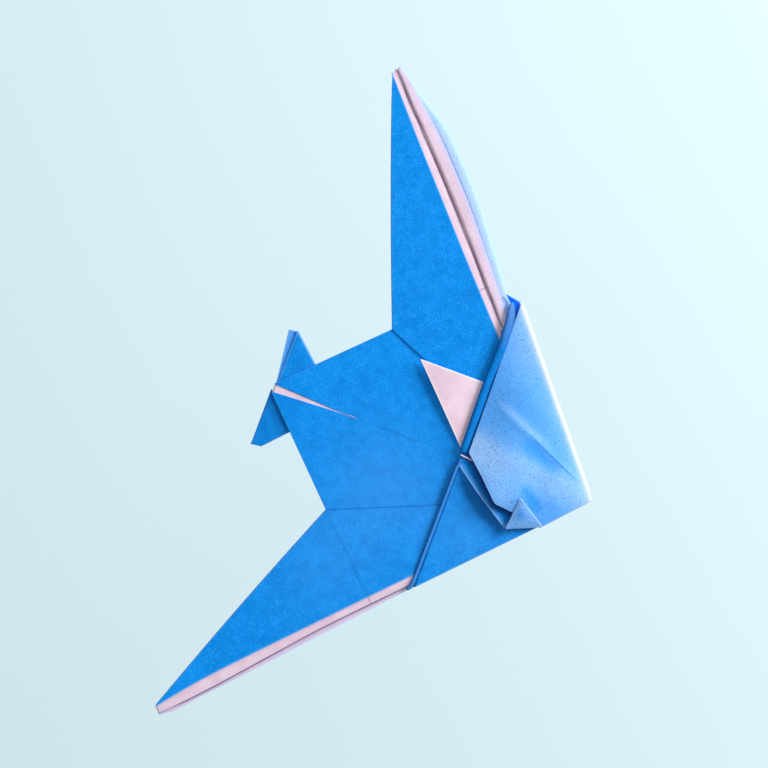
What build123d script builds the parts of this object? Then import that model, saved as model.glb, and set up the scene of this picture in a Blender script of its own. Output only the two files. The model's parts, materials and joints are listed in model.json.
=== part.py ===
from build123d import *
import math
import os

# A swept-wing plane folded from one square sheet, blue on one side and plain on the other.
# +X is forward, +Y is port and +Z is up. The origin is on the underside, halfway along the
# centreline. Every panel between two creases is a solid of its own, in its own node.
# Plan positions in this file count forward from the tail point; placed() moves them to the origin.

# Overall sizes, in millimetres
half_span = 75.0  # centreline to wing tip
body_length = 74.0  # tail point to nose point
notch_forward = 20.2  # tail point to the notches between tail and wings
notch_out = 21.1  # centreline to a notch
fold_angle = 22.5  # degrees forward-and-in, of the wing's inner edge on the back
pocket_forward = 43.6  # tail point to the line of the nose pocket's mouth

# The sheet and how it lies
paper = 0.10  # thickness of one layer
layer_gap = 0.16  # air between neighbouring layers of a hand-folded stack
fold_gap = 0.10  # between two panels that meet at a crease and lie in one plane
bend_gap = 0.60  # between the lower layers on the two sides of a wing's crease
tuck = 2.6  # how far a layer goes into the nose pocket

# Wings
crease_back = 6.6  # from the pocket's mouth back to where the wing's crease meets the leading edge
tip_width = 2.2  # the blunt end of a wing
tip_rake = 0.01  # where the leading edge starts, from tip to nose
# How far each layer's leading edge lies inside the line from tip to nose, at the tip and at the
# pocket; the layers are fanned, so lower ones stand further out
port_insets = {"top": (0.2, 3.2), "pleat": (-0.6, 1.9), "lining": (-1.2, 0.6), "under": (-1.2, 0.2)}
starboard_insets = {"top": (0.3, 2.9), "pleat": (-0.2, 1.5), "lining": (-0.5, 0.8), "under": (-0.2, 1.2)}
lip_radius = 0.85  # of the rolled leading edge under the port wing
lip_return = 0.9  # the flat that comes back inwards above the roll
lip_tip_share = 0.03  # where the rolled edge starts, from tip to nose
lip_pocket_back = 3.3  # from the pocket's mouth back to where its bulge is given
lip_bulge_tip = 1.6  # how far the rolled edge stands outside the tip-to-nose line near the tip
lip_bulge_middle = 4.6  # at the middle of the outer wing
lip_bulge_root = 2.6  # at the pocket
lip_gap = 0.08  # between the underskin and its rolled edge
lip_bend_gap = 1.6  # between the rolled edges on the two sides of the wing's crease
lining_inset = 1.6  # of an inner body layer, from the edges of the back panel above it

# Tail
slit_width = 1.8  # between the back panels at the tail point
slit_length = 16.8  # where the slit closes
seam_gap = 0.12  # between the back panels forward of the slit
fin_start = 1.6  # from the tail point along the tail edge to the fin
fin_root_length = 9.0  # length of the fin's fold along the tail edge
fin_reach = 9.8  # from the fold to the fin's tip
fin_rake = 7.3  # from the fold's aft end to the tip's aft corner, along the tail edge
fin_tip_width = 1.8
fin_edge_width = 1.3  # the narrow aft face, along the fold
fin_tip_split = 0.5  # where the fin's own fold meets its tip
fin_clearance = 0.22  # between the tail edge and a fin's fold
fin_root_depth = 5.0  # how far the hidden root goes inwards
fin_root_point = 0.6  # where along the fold the hidden root is deepest

# Lock tab
tab_side = 14.4  # the two equal sides of the right-angled tab
tab_from_centre = 2.6  # centreline to the tab's pointed end
tab_gap = 0.20  # between the tab and the pocket's mouth, and between the tab and its root

# Nose
roll_width = 1.7  # the rolled mouth of the pocket, port side
roll_height = 1.3
roll_clearance = 0.06  # between the wing's rolled edge and the mouth above it
roll_start_out = 1.2  # centreline to the mouth's inner end
roll_end_inset = 1.0  # from the flap's outer corner to the mouth's outer end
hem_width = 1.0  # the pressed mouth of the pocket, starboard side
hem_height = 0.42
hem_end_out = 0.8  # centreline to the pressed mouth's inner end
mouth_gap = 0.20  # between a mouth's edge and the cover in front of it
nose_lining_inset = 1.0
lower_sheet_gap = 1.0  # between the lower sheet and the flap's fold and the pressed mouth's end
lower_corner_forward = 58.0  # the lower sheet's free corner
lower_corner_out = -11.0
flap_nose_back = 0.6  # from the nose point to the fold's forward end
flap_nose_out = 1.4  # centreline to the fold's forward end
flap_bulge = 6.2  # how far sideways the flap's outer corner stands outside the tip-to-nose line
flap_corner_forward = 58.5  # the flap's free corner
flap_corner_out = -11.0
flap_inner_out = 1.8  # centreline to the flap's inner corner
flap_shoulder_out = -10.5  # control point of the free edge between nose and corner
flap_shoulder_forward = 66.0
fold_height = 2.0  # height of the flap's fold above the underside
flap_lift_mouth = 2.2  # how far the flap's free edge arches above its ends
flap_lift_middle = 1.6  # how far its middle stands above its edges
flap_rest_gap = 0.35  # between the rolled mouth and the flap above it
nose_fold_radius = 0.9  # of the rounded leading edge under the flap
nose_fold_wall = 0.12
nose_fold_share = 0.93  # how much of the flap's fold it follows, from its outer end
flap_grid = 7  # points each way across the flap
corner_lift = 0.45  # between the flap and the folded-over corner
corner_fold_aft = 0.97  # where its fold meets the flap's free edge, from nose to free corner
corner_fold_forward = 0.45
corner_point_along = 0.72  # where its point lies on the flap, along the flap's fold
corner_point_across = 0.62  # and away from the flap's fold

PORT = 1
STARBOARD = -1
SIDE_NAMES = {PORT: "port", STARBOARD: "starboard"}


def level(number):
    """Height of the underside of a layer, counted up from the belly."""
    return number * (paper + layer_gap)


# Which layer of the stack each panel lies in
BELLY, LINING, PLEAT, BACK, WING_TOP, TAB, COVER = range(7)
NOSE_COVER_STARBOARD = TAB


def moved(point, direction, distance):
    """A plan point moved along a unit direction."""
    return (point[0] + direction[0] * distance, point[1] + direction[1] * distance)


def direction(start, end):
    """Unit vector from one plan point to another."""
    length = math.dist(start, end)
    return ((end[0] - start[0]) / length, (end[1] - start[1]) / length)


def left_of(unit):
    """The unit vector a quarter turn to the left."""
    return (-unit[1], unit[0])


def between(start, end, share):
    """The point that lies at a share of the way from start to end, in the plan or in space."""
    return tuple(a + (b - a) * share for a, b in zip(start, end))


def mirrored(points, side):
    """Plan points drawn for the port side, on the given side."""
    return [(x, y * side) for x, y in points]


def placed(shape):
    """A shape drawn forward of the tail point, moved to the model's origin."""
    return Pos(-body_length / 2, 0, 0) * shape


def panel(points, number):
    """One flat layer of paper with the given outline, in the given layer of the stack."""
    outline = Polyline(*points, close=True)
    return placed(Pos(0, 0, level(number)) * extrude(make_face(outline), paper))


TAIL = (0.0, 0.0)
NOSE = (body_length, 0.0)
TIP = (0.0, half_span)
NOTCH = (notch_forward, notch_out)
LEAD_DIRECTION = direction(TIP, NOSE)
INWARDS = (LEAD_DIRECTION[1], -LEAD_DIRECTION[0])
TUCK_X = pocket_forward + tuck
CREASE_SHARE = (pocket_forward - crease_back) / body_length


def lead_point(share, inset):
    """A point of the port leading edge, at a share of the way from tip to nose, moved inwards."""
    return moved(between(TIP, NOSE, share), INWARDS, inset)


POCKET_END = lead_point(pocket_forward / body_length, 0)


def lead_inset(insets, share):
    """A layer's inset at a share of the way from tip to nose, on a straight line to the pocket."""
    tip_inset, root_inset = insets
    return tip_inset + (root_inset - tip_inset) * share * body_length / pocket_forward


def lead_at_x(insets, x):
    """The point of a layer's leading edge that lies x forward of the tail point."""
    start = lead_point(0, lead_inset(insets, 0))
    end = lead_point(1, lead_inset(insets, 1))
    return between(start, end, (x - start[0]) / (end[0] - start[0]))


def crease_end(insets):
    """Where the wing's crease meets a layer's leading edge."""
    return lead_point(CREASE_SHARE, lead_inset(insets, CREASE_SHARE))


def crease_normal():
    """Unit vector across the port wing's crease, pointing outboard."""
    return left_of(direction(NOTCH, lead_point(CREASE_SHARE, 0)))


def crease_half_gap(layer):
    """Half the gap at the wing's crease: narrow in the top skin, wider below it."""
    return fold_gap / 2 if layer == "top" else bend_gap / 2


def outer_wing(insets, layer, side):
    """Outline of a wing layer outboard of the crease."""
    half = crease_half_gap(layer)
    normal = crease_normal()
    tip_trailing = (TIP[0], TIP[1] - tip_width)
    tip_leading = lead_point(tip_rake, lead_inset(insets[layer], 0))
    points = [
        tip_trailing,
        moved(NOTCH, normal, half),
        moved(crease_end(insets[layer]), normal, half),
        tip_leading,
    ]
    return mirrored(points, side)


def wing_root_top(insets, side):
    """Outline of the wing's top skin inboard of the crease, tucked into the nose pocket."""
    normal = crease_normal()
    inner_slope = math.tan(math.radians(fold_angle))
    points = [
        moved(NOTCH, normal, -fold_gap / 2),
        (TUCK_X, notch_out - (TUCK_X - notch_forward) * inner_slope),
        lead_at_x(insets["top"], TUCK_X),
        moved(crease_end(insets["top"]), normal, -fold_gap / 2),
    ]
    return mirrored(points, side)


def body_edge(x, inset):
    """A point of the fold between body and wing, x forward of the tail point, moved inwards."""
    share = (x - notch_forward) / (pocket_forward - notch_forward)
    normal = left_of(direction(NOTCH, POCKET_END))
    return moved(between(NOTCH, POCKET_END, share), normal, -inset)


def root_start(half):
    """The sharp end of a lower inner wing layer, where it clears both the crease and the body's fold."""
    edge = direction(NOTCH, POCKET_END)
    crease = direction(NOTCH, lead_point(CREASE_SHARE, 0))
    sine = edge[0] * crease[1] - edge[1] * crease[0]
    reach = (half + fold_gap) / sine
    return moved(moved(NOTCH, edge, reach), left_of(edge), fold_gap / 2)


def wing_root_layer(insets, layer, side):
    """Outline of a lower wing layer inboard of the crease, outside the body's own fold."""
    normal = crease_normal()
    half = crease_half_gap(layer)
    end_x = pocket_forward - (tuck if layer == "under" else fold_gap)
    points = [
        root_start(half),
        body_edge(pocket_forward - tuck, -fold_gap / 2),
        lead_at_x(insets[layer], end_x),
        moved(crease_end(insets[layer]), normal, -half),
    ]
    return mirrored(points, side)


FLAP_EDGE_OUT = POCKET_END[1] + flap_bulge


def circle_through(a, b, c):
    """Centre and radius of the circle through three plan points."""
    d = 2 * (a[0] * (b[1] - c[1]) + b[0] * (c[1] - a[1]) + c[0] * (a[1] - b[1]))
    squares = [p[0] ** 2 + p[1] ** 2 for p in (a, b, c)]
    x = (squares[0] * (b[1] - c[1]) + squares[1] * (c[1] - a[1]) + squares[2] * (a[1] - b[1])) / d
    y = (squares[0] * (c[0] - b[0]) + squares[1] * (a[0] - c[0]) + squares[2] * (b[0] - a[0])) / d
    return (x, y), math.dist((x, y), a)


def lip_circle():
    """Centre and radius of the arc that the port wing's rolled edge follows."""
    pocket_share = (pocket_forward - lip_pocket_back) / body_length
    near_tip = lead_point(lip_tip_share, -lip_bulge_tip)
    middle = lead_point((lip_tip_share + pocket_share) / 2, -lip_bulge_middle)
    near_pocket = lead_point(pocket_share, -lip_bulge_root)
    return circle_through(near_tip, middle, near_pocket)


def lip_angle(point):
    """Direction of a plan point from the centre of the rolled edge's arc, in degrees."""
    centre = lip_circle()[0]
    return math.degrees(math.atan2(point[1] - centre[1], point[0] - centre[0]))


def on_lip(angle, inset):
    """A point of the rolled edge's arc, moved towards the arc's centre."""
    centre, radius = lip_circle()
    turn = math.radians(angle)
    return moved(centre, (math.cos(turn), math.sin(turn)), radius - inset)


def lip(start_angle, end_angle):
    """The rolled leading edge between two directions: a half ring with a flat return above it."""
    centre, radius = lip_circle()
    middle = radius - lip_radius
    ring = Circle(lip_radius) - Circle(lip_radius - paper)
    outer_half = ring & Pos(lip_radius, 0) * Rectangle(2 * lip_radius, 4 * lip_radius)
    flat = Pos(-lip_return / 2, lip_radius - paper / 2) * Rectangle(lip_return, paper)
    profile = Pos(middle, lip_radius) * (outer_half + flat)
    upright = Plane.XZ * profile
    turned = Rot(0, 0, start_angle) * upright
    solid = revolve(turned, axis=Axis.Z, revolution_arc=end_angle - start_angle)
    return placed(Pos(centre[0], centre[1], 0) * solid)


def port_underskin():
    """The port wing's lowest layer outboard of the crease, with its bulging leading edge."""
    half = bend_gap / 2
    normal = crease_normal()
    inset = lip_radius + lip_gap
    crease_angle = lip_angle(moved(lead_point(CREASE_SHARE, 0), normal, half))
    tip_angle = lip_angle(lead_point(lip_tip_share, 0))
    arc = ThreePointArc(
        on_lip(crease_angle, inset),
        on_lip((crease_angle + tip_angle) / 2, inset),
        on_lip(tip_angle, inset),
    )
    notch = moved(NOTCH, normal, half)
    tip_trailing = (TIP[0], TIP[1] - tip_width)
    rest = Polyline(arc @ 1, tip_trailing, notch, arc @ 0)
    return placed(extrude(make_face([arc, rest]), paper))


def port_root_underskin():
    """The port wing's lowest layer inboard of the crease, out to its rolled leading edge."""
    normal = crease_normal()
    half = bend_gap / 2
    inset = lip_radius + lip_gap
    crease_angle = lip_angle(moved(lead_point(CREASE_SHARE, 0), normal, -half))
    arc = ThreePointArc(
        on_lip(crease_angle, inset),
        on_lip((crease_angle + lip_end_angle()) / 2, inset),
        on_lip(lip_end_angle(), inset),
    )
    rest = Polyline(arc @ 1, body_edge(pocket_forward - tuck, -fold_gap / 2), root_start(half), arc @ 0)
    return placed(extrude(make_face([arc, rest]), paper))


def lip_end_angle():
    """Direction in which the rolled edge ends at the nose pocket."""
    return lip_angle(lead_at_x((0, 0), pocket_forward - tuck))


def back_panel(side):
    """One upper body panel: the slit opens towards the tail, a hairline seam runs on forward."""
    half_slit = slit_width / 2
    half_seam = seam_gap / 2
    points = [
        (half_slit, half_slit),
        NOTCH,
        body_edge(TUCK_X, fold_gap),
        (TUCK_X, half_seam),
        (slit_length, half_seam),
    ]
    return panel(mirrored(points, side), BACK)


def body_lining(side):
    """An inner body layer, set in from the back panel's edges."""
    points = [
        (lining_inset + slit_width, slit_width),
        moved(NOTCH, (1, 0), lining_inset),
        body_edge(pocket_forward - lining_inset, lining_inset),
        (pocket_forward - lining_inset, slit_width / 2),
    ]
    return panel(mirrored(points, side), LINING)


def belly():
    """The lowest body layer, from the tail point to the nose, with the flat face underneath."""
    side = [moved(NOTCH, (0, -1), fold_gap), body_edge(pocket_forward, fold_gap)]
    outer, nose, _, _ = flap_corners()
    flap_side = [(outer[0], outer[1] - 2 * fold_gap), (nose[0], nose[1] - 2 * fold_gap)]
    starboard = [(x, -y) for x, y in reversed(side)]
    return panel([TAIL, *side, *flap_side, NOSE, *starboard], BELLY)


def nose_lining():
    """The layer inside the nose, under both covers."""
    edge = lead_at_x((nose_lining_inset, nose_lining_inset), pocket_forward + fold_gap)
    point = (body_length - 2 * nose_lining_inset, 0)
    return panel([edge, point, (edge[0], -edge[1])], LINING)


def tail_edge():
    """Unit vectors along the port tail edge, from the tail point, and outwards across it."""
    along = direction(TAIL, NOTCH)
    return along, left_of(along)


def fin_points():
    """Corners of the port fin in plan: fold's aft and forward ends, and the tip's two corners."""
    along, outwards = tail_edge()
    aft = moved(moved(TAIL, along, fin_start), outwards, fin_clearance)
    forward = moved(aft, along, fin_root_length)
    tip_aft = moved(moved(aft, outwards, fin_reach), along, fin_rake)
    tip_forward = moved(tip_aft, (1, 0), fin_tip_width)
    return aft, forward, tip_forward, tip_aft


def fin_leaf(side):
    """The fin's broad face."""
    aft, forward, tip_forward, tip_aft = fin_points()
    split_root = between(aft, forward, fin_edge_width / fin_root_length)
    split_tip = between(tip_aft, tip_forward, fin_tip_split + fold_gap / fin_tip_width)
    return panel(mirrored([split_root, forward, tip_forward, split_tip], side), PLEAT)


def fin_edge(side):
    """The fin's narrow aft face, on the other side of its own small fold."""
    aft, forward, tip_forward, tip_aft = fin_points()
    share = (fin_edge_width - fold_gap) / fin_root_length
    split_root = between(aft, forward, share)
    split_tip = between(tip_aft, tip_forward, fin_tip_split)
    return panel(mirrored([aft, split_root, split_tip, tip_aft], side), PLEAT)


def fin_root(side):
    """The hidden panel that carries the fin, between the back and the belly."""
    along, outwards = tail_edge()
    aft = moved(moved(TAIL, along, fin_start + fin_clearance), outwards, -fin_clearance)
    forward = moved(aft, along, fin_root_length)
    inner = moved(between(aft, forward, fin_root_point), outwards, -fin_root_depth)
    return panel(mirrored([aft, forward, inner], side), PLEAT)


def lock_tab():
    """The right-angled plain triangle that comes out from under the pocket's mouth."""
    x = pocket_forward - tab_gap - roll_width / 2
    points = [
        (x, tab_from_centre),
        (x, tab_from_centre + tab_side),
        (x - tab_side, tab_from_centre + tab_side),
    ]
    return panel(points, TAB)


def lock_tab_root():
    """The part of the tab's layer that stays inside the pocket."""
    x = pocket_forward - roll_width / 2
    points = [
        (x, tab_from_centre),
        (TUCK_X, tab_from_centre),
        (TUCK_X, tab_from_centre + tab_side),
        (x, tab_from_centre + tab_side),
    ]
    return panel(points, TAB)


def oval_tube(start, end, width, height, wall, base):
    """A flattened tube of paper lying along a plan line, with its underside at a height."""
    unit = direction(start, end)
    section = Ellipse(width / 2, height / 2) - Ellipse(width / 2 - wall, height / 2 - wall)
    plane = Plane(
        origin=(start[0], start[1], base + height / 2),
        x_dir=(-unit[1], unit[0], 0),
        z_dir=(unit[0], unit[1], 0),
    )
    return placed(extrude(plane * section, math.dist(start, end)))


def pocket_roll():
    """The rolled mouth of the nose pocket on the port side, from the centreline to the flap's end."""
    start = (pocket_forward + roll_width / 4, roll_start_out)
    end = (pocket_forward - roll_width / 2, FLAP_EDGE_OUT - roll_end_inset)
    return oval_tube(start, end, roll_width, roll_height, paper, roll_base())


def roll_base():
    """Height of the rolled mouth's underside, clear of the rolled leading edge it crosses."""
    return max(level(COVER), 2 * lip_radius + roll_clearance)


def pocket_hem():
    """The pressed mouth of the nose pocket on the starboard side: two layers, nearly touching."""
    outer = lead_at_x((0, 0), pocket_forward)
    low = level(NOSE_COVER_STARBOARD)
    points = [
        (pocket_forward + hem_width, -hem_end_out),
        (pocket_forward, -hem_end_out),
        (pocket_forward, -outer[1]),
        (pocket_forward + hem_width, -outer[1]),
    ]
    face = make_face(Polyline(*points, close=True))
    lower = Pos(0, 0, low) * extrude(face, paper)
    upper = Pos(0, 0, low + hem_height - paper) * extrude(face, paper)
    spine = Pos(0, 0, low) * extrude(
        make_face(
            Polyline(
                (pocket_forward, -hem_end_out),
                (pocket_forward + paper, -hem_end_out),
                (pocket_forward + paper, -outer[1]),
                (pocket_forward, -outer[1]),
                close=True,
            )
        ),
        hem_height,
    )
    return placed(lower + upper + spine)


def nose_cover_starboard():
    """The flat upper panel on the nose's starboard side."""
    x = pocket_forward + hem_width + mouth_gap
    edge = lead_at_x((0, 0), x)
    corners = [
        (x, -hem_end_out + fold_gap),
        (x, -edge[1]),
        (body_length - nose_lining_inset, -2 * fold_gap),
    ]
    return panel(corners, NOSE_COVER_STARBOARD)


def nose_cover_port():
    """The lower sheet of the port nose, which crosses the centreline to its free corner."""
    x = pocket_forward + roll_width + mouth_gap
    outer, nose, _, _ = flap_corners()
    share = (x - outer[0]) / (nose[0] - outer[0])
    edge = between(outer[:2], nose[:2], share)
    points = [
        (x, -hem_end_out - lower_sheet_gap),
        (lower_corner_forward, lower_corner_out),
        (nose[0] - lower_sheet_gap, nose[1] - lower_sheet_gap),
        (edge[0], edge[1] - lower_sheet_gap),
    ]
    return panel(points, COVER)


def flap_corners():
    """The flap's corners in space: outer end of its fold, nose, free corner, inner corner."""
    mouth_x = pocket_forward + roll_width
    outer = (pocket_forward + 3 * fold_gap, FLAP_EDGE_OUT, fold_height)
    nose = (body_length - flap_nose_back, flap_nose_out, fold_height)
    free = (flap_corner_forward, flap_corner_out, level(COVER) + paper + flap_rest_gap)
    inner = (mouth_x - mouth_gap, flap_inner_out, roll_base() + roll_height + flap_rest_gap)
    return outer, nose, free, inner


def flap_free_edge(share):
    """A point of the edge from the nose to the free corner, a quadratic curve in plan."""
    _, nose, free, _ = flap_corners()
    shoulder = (flap_shoulder_forward, flap_shoulder_out, (nose[2] + free[2]) / 2)
    return between(between(nose, shoulder, share), between(shoulder, free, share), share)


def flap_mouth_edge(share):
    """A point of the arched edge from the inner corner to the free corner."""
    _, _, free, inner = flap_corners()
    point = between(inner, free, share)
    return (point[0], point[1], point[2] + flap_lift_mouth * math.sin(math.pi * share) ** 2)


def flap_pocket_edge(share):
    """A point of the edge that lies over the rolled mouth, from the fold's end inwards."""
    outer, _, _, inner = flap_corners()
    point = between(outer, inner, share)
    rise = inner[2] - outer[2]
    height = outer[2] + rise * math.sin(math.pi / 2 * min(1.0, 3 * share))
    return (point[0], point[1], height)


def flap_point(along, across):
    """A point of the flap: its four edges blended, and a low crown in the middle."""
    outer, nose, free, inner = flap_corners()
    fold = between(outer, nose, along)
    mouth = flap_mouth_edge(along)
    pocket = flap_pocket_edge(across)
    free_side = flap_free_edge(across)
    crown = flap_lift_middle * math.sin(math.pi * along) * math.sin(math.pi * across)
    values = []
    for i in range(3):
        ruled = (1 - across) * fold[i] + across * mouth[i] + (1 - along) * pocket[i] + along * free_side[i]
        corners = (
            (1 - along) * (1 - across) * outer[i]
            + along * (1 - across) * nose[i]
            + along * across * free[i]
            + (1 - along) * across * inner[i]
        )
        values.append(ruled - corners)
    return Vector(values[0], values[1], values[2] + crown)


def nose_flap():
    """The raised, curved upper sheet of the port nose."""
    steps = [i / (flap_grid - 1) for i in range(flap_grid)]
    grid = [[flap_point(along, across) for across in steps] for along in steps]
    surface = Face.make_surface_from_array_of_points(grid)
    return placed(thicken(surface, paper))


def corner_points():
    """The folded-over corner in space: the two ends of its fold, and its point."""
    aft = flap_free_edge(corner_fold_aft)
    forward = flap_free_edge(corner_fold_forward)
    apex = flap_point(corner_point_along, corner_point_across)
    lift = paper + corner_lift
    return (
        (aft[0], aft[1], aft[2] + lift),
        (forward[0], forward[1], forward[2] + lift),
        (apex.X, apex.Y, apex.Z + lift),
    )


def nose_corner():
    """The flap's free corner, folded back over its upper side."""
    aft, forward, apex = corner_points()
    face = Face(Wire.make_polygon([aft, forward, apex], close=True))
    return placed(thicken(face, paper))


def nose_fold_port():
    """The rounded leading edge that joins the belly to the flap."""
    outer, nose, _, _ = flap_corners()
    start = (outer[0], outer[1])
    end = (nose[0], nose[1])
    unit = direction(start, end)
    radius = nose_fold_radius
    ring = Circle(radius) - Circle(radius - nose_fold_wall)
    outer_half = ring & Pos(radius, 0) * Rectangle(2 * radius, 4 * radius)
    plane = Plane(
        origin=(start[0], start[1], radius),
        x_dir=(-unit[1], unit[0], 0),
        z_dir=(unit[0], unit[1], 0),
    )
    return placed(extrude(plane * outer_half, math.dist(start, end) * nose_fold_share))


def wing_nodes(side, insets):
    """Every layer of one wing, outboard and inboard of its crease."""
    name = SIDE_NAMES[side]
    numbers = {"top": WING_TOP, "pleat": PLEAT, "lining": LINING, "under": BELLY}
    nodes = {}
    for layer, number in numbers.items():
        nodes[f"wing_{layer}_{name}"] = panel(outer_wing(insets, layer, side), number)
        if layer != "top":
            nodes[f"wing_root_{layer}_{name}"] = panel(wing_root_layer(insets, layer, side), number)
    nodes[f"wing_root_top_{name}"] = panel(wing_root_top(insets, side), WING_TOP)
    return nodes


def tail_nodes(side):
    """The pieces of one tail fin."""
    name = SIDE_NAMES[side]
    return {
        f"fin_leaf_{name}": fin_leaf(side),
        f"fin_edge_{name}": fin_edge(side),
        f"fin_root_{name}": fin_root(side),
    }


def model():
    """Every node by name."""
    nodes = {
        "belly": belly(),
        "back_port": back_panel(PORT),
        "back_starboard": back_panel(STARBOARD),
        "lining_port": body_lining(PORT),
        "lining_starboard": body_lining(STARBOARD),
        "nose_lining": nose_lining(),
        "lock_tab": lock_tab(),
        "lock_tab_root": lock_tab_root(),
        "pocket_roll": pocket_roll(),
        "pocket_hem": pocket_hem(),
        "nose_cover_starboard": nose_cover_starboard(),
        "nose_cover_port": nose_cover_port(),
        "nose_flap": nose_flap(),
        "nose_corner": nose_corner(),
        "nose_fold_port": nose_fold_port(),
    }
    nodes.update(wing_nodes(PORT, port_insets))
    nodes.update(wing_nodes(STARBOARD, starboard_insets))
    nodes.update(tail_nodes(PORT))
    nodes.update(tail_nodes(STARBOARD))
    crease_angle = lip_angle(moved(lead_point(CREASE_SHARE, 0), crease_normal(), lip_bend_gap / 2))
    root_crease_angle = lip_angle(moved(lead_point(CREASE_SHARE, 0), crease_normal(), -lip_bend_gap / 2))
    nodes["wing_under_port"] = port_underskin()
    nodes["wing_root_under_port"] = port_root_underskin()
    nodes["wing_lip_port"] = lip(crease_angle, lip_angle(lead_point(lip_tip_share, 0)))
    nodes["wing_root_lip_port"] = lip(lip_end_angle(), root_crease_angle)
    return nodes


os.makedirs("parts", exist_ok=True)
for node, shape in model().items():
    export_step(shape, f"parts/{node}.step")
    box = shape.bounding_box()
    print(f"{node:26s} {shape.volume:8.2f} mm3  x {box.min.X:6.1f} {box.max.X:6.1f}"
          f"  y {box.min.Y:6.1f} {box.max.Y:6.1f}  z {box.min.Z:5.2f} {box.max.Z:5.2f}")
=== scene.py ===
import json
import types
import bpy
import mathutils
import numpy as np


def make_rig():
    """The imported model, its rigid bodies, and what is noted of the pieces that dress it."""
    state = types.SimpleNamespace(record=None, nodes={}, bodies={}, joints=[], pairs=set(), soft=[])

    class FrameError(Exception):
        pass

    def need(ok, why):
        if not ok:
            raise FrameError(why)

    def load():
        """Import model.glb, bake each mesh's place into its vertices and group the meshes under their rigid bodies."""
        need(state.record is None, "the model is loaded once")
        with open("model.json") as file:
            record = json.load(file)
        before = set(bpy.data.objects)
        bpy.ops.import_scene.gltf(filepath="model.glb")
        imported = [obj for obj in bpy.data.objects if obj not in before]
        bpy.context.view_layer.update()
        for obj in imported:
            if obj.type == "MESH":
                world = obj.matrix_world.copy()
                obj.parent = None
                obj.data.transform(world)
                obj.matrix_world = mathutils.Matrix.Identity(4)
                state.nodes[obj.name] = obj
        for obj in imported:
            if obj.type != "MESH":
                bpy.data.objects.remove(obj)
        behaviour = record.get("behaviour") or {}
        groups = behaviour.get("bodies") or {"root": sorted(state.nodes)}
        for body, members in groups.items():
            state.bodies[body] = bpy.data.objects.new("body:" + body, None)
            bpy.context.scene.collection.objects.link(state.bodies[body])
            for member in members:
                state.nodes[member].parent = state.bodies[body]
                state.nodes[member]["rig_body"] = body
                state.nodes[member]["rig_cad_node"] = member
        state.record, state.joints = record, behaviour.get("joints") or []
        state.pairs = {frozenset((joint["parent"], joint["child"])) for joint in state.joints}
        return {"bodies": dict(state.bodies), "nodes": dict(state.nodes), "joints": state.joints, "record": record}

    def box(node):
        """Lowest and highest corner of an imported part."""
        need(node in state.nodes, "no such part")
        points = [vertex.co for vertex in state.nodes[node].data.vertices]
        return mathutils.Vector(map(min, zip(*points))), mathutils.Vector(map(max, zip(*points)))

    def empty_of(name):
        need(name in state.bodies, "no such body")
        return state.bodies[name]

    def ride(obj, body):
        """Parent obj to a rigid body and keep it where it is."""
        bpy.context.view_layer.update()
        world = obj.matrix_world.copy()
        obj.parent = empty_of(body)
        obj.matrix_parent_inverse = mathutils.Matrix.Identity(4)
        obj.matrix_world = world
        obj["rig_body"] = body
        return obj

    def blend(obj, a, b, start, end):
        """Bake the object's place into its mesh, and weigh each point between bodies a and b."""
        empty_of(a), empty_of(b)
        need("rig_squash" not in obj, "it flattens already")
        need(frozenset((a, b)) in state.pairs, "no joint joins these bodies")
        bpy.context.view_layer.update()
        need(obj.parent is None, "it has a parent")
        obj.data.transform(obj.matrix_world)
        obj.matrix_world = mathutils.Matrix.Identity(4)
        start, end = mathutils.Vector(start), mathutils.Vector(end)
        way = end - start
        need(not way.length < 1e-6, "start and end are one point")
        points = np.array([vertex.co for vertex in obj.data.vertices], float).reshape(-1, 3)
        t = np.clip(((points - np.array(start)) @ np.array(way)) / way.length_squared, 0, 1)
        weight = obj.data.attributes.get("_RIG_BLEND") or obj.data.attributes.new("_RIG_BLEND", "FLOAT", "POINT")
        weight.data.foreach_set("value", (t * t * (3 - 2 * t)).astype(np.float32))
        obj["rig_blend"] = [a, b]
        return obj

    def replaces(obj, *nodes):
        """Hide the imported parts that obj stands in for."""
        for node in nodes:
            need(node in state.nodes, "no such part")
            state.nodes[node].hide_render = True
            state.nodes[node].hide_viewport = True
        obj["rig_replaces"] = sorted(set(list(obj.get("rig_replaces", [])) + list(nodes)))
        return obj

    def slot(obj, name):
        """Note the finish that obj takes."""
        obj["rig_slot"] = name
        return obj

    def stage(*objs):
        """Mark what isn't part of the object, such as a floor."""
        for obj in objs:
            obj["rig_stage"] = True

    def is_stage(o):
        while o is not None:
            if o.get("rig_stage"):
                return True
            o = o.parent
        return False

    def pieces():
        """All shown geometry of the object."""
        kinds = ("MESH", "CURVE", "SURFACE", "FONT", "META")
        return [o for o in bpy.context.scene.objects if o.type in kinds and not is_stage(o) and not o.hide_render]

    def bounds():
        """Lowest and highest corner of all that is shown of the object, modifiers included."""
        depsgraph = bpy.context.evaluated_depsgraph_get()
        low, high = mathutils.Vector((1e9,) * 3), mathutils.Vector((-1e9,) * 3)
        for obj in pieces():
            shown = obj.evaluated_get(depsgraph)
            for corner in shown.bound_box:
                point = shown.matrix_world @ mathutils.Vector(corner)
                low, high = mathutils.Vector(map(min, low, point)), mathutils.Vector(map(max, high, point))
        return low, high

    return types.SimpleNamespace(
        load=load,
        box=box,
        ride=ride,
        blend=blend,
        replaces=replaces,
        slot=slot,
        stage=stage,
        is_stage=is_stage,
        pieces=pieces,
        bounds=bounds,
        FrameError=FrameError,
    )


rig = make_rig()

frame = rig.load()

import json
import logging
import math
from dataclasses import dataclass
from enum import Enum
from typing import Sequence

import bpy
import numpy as np
from numpy.typing import NDArray

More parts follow.
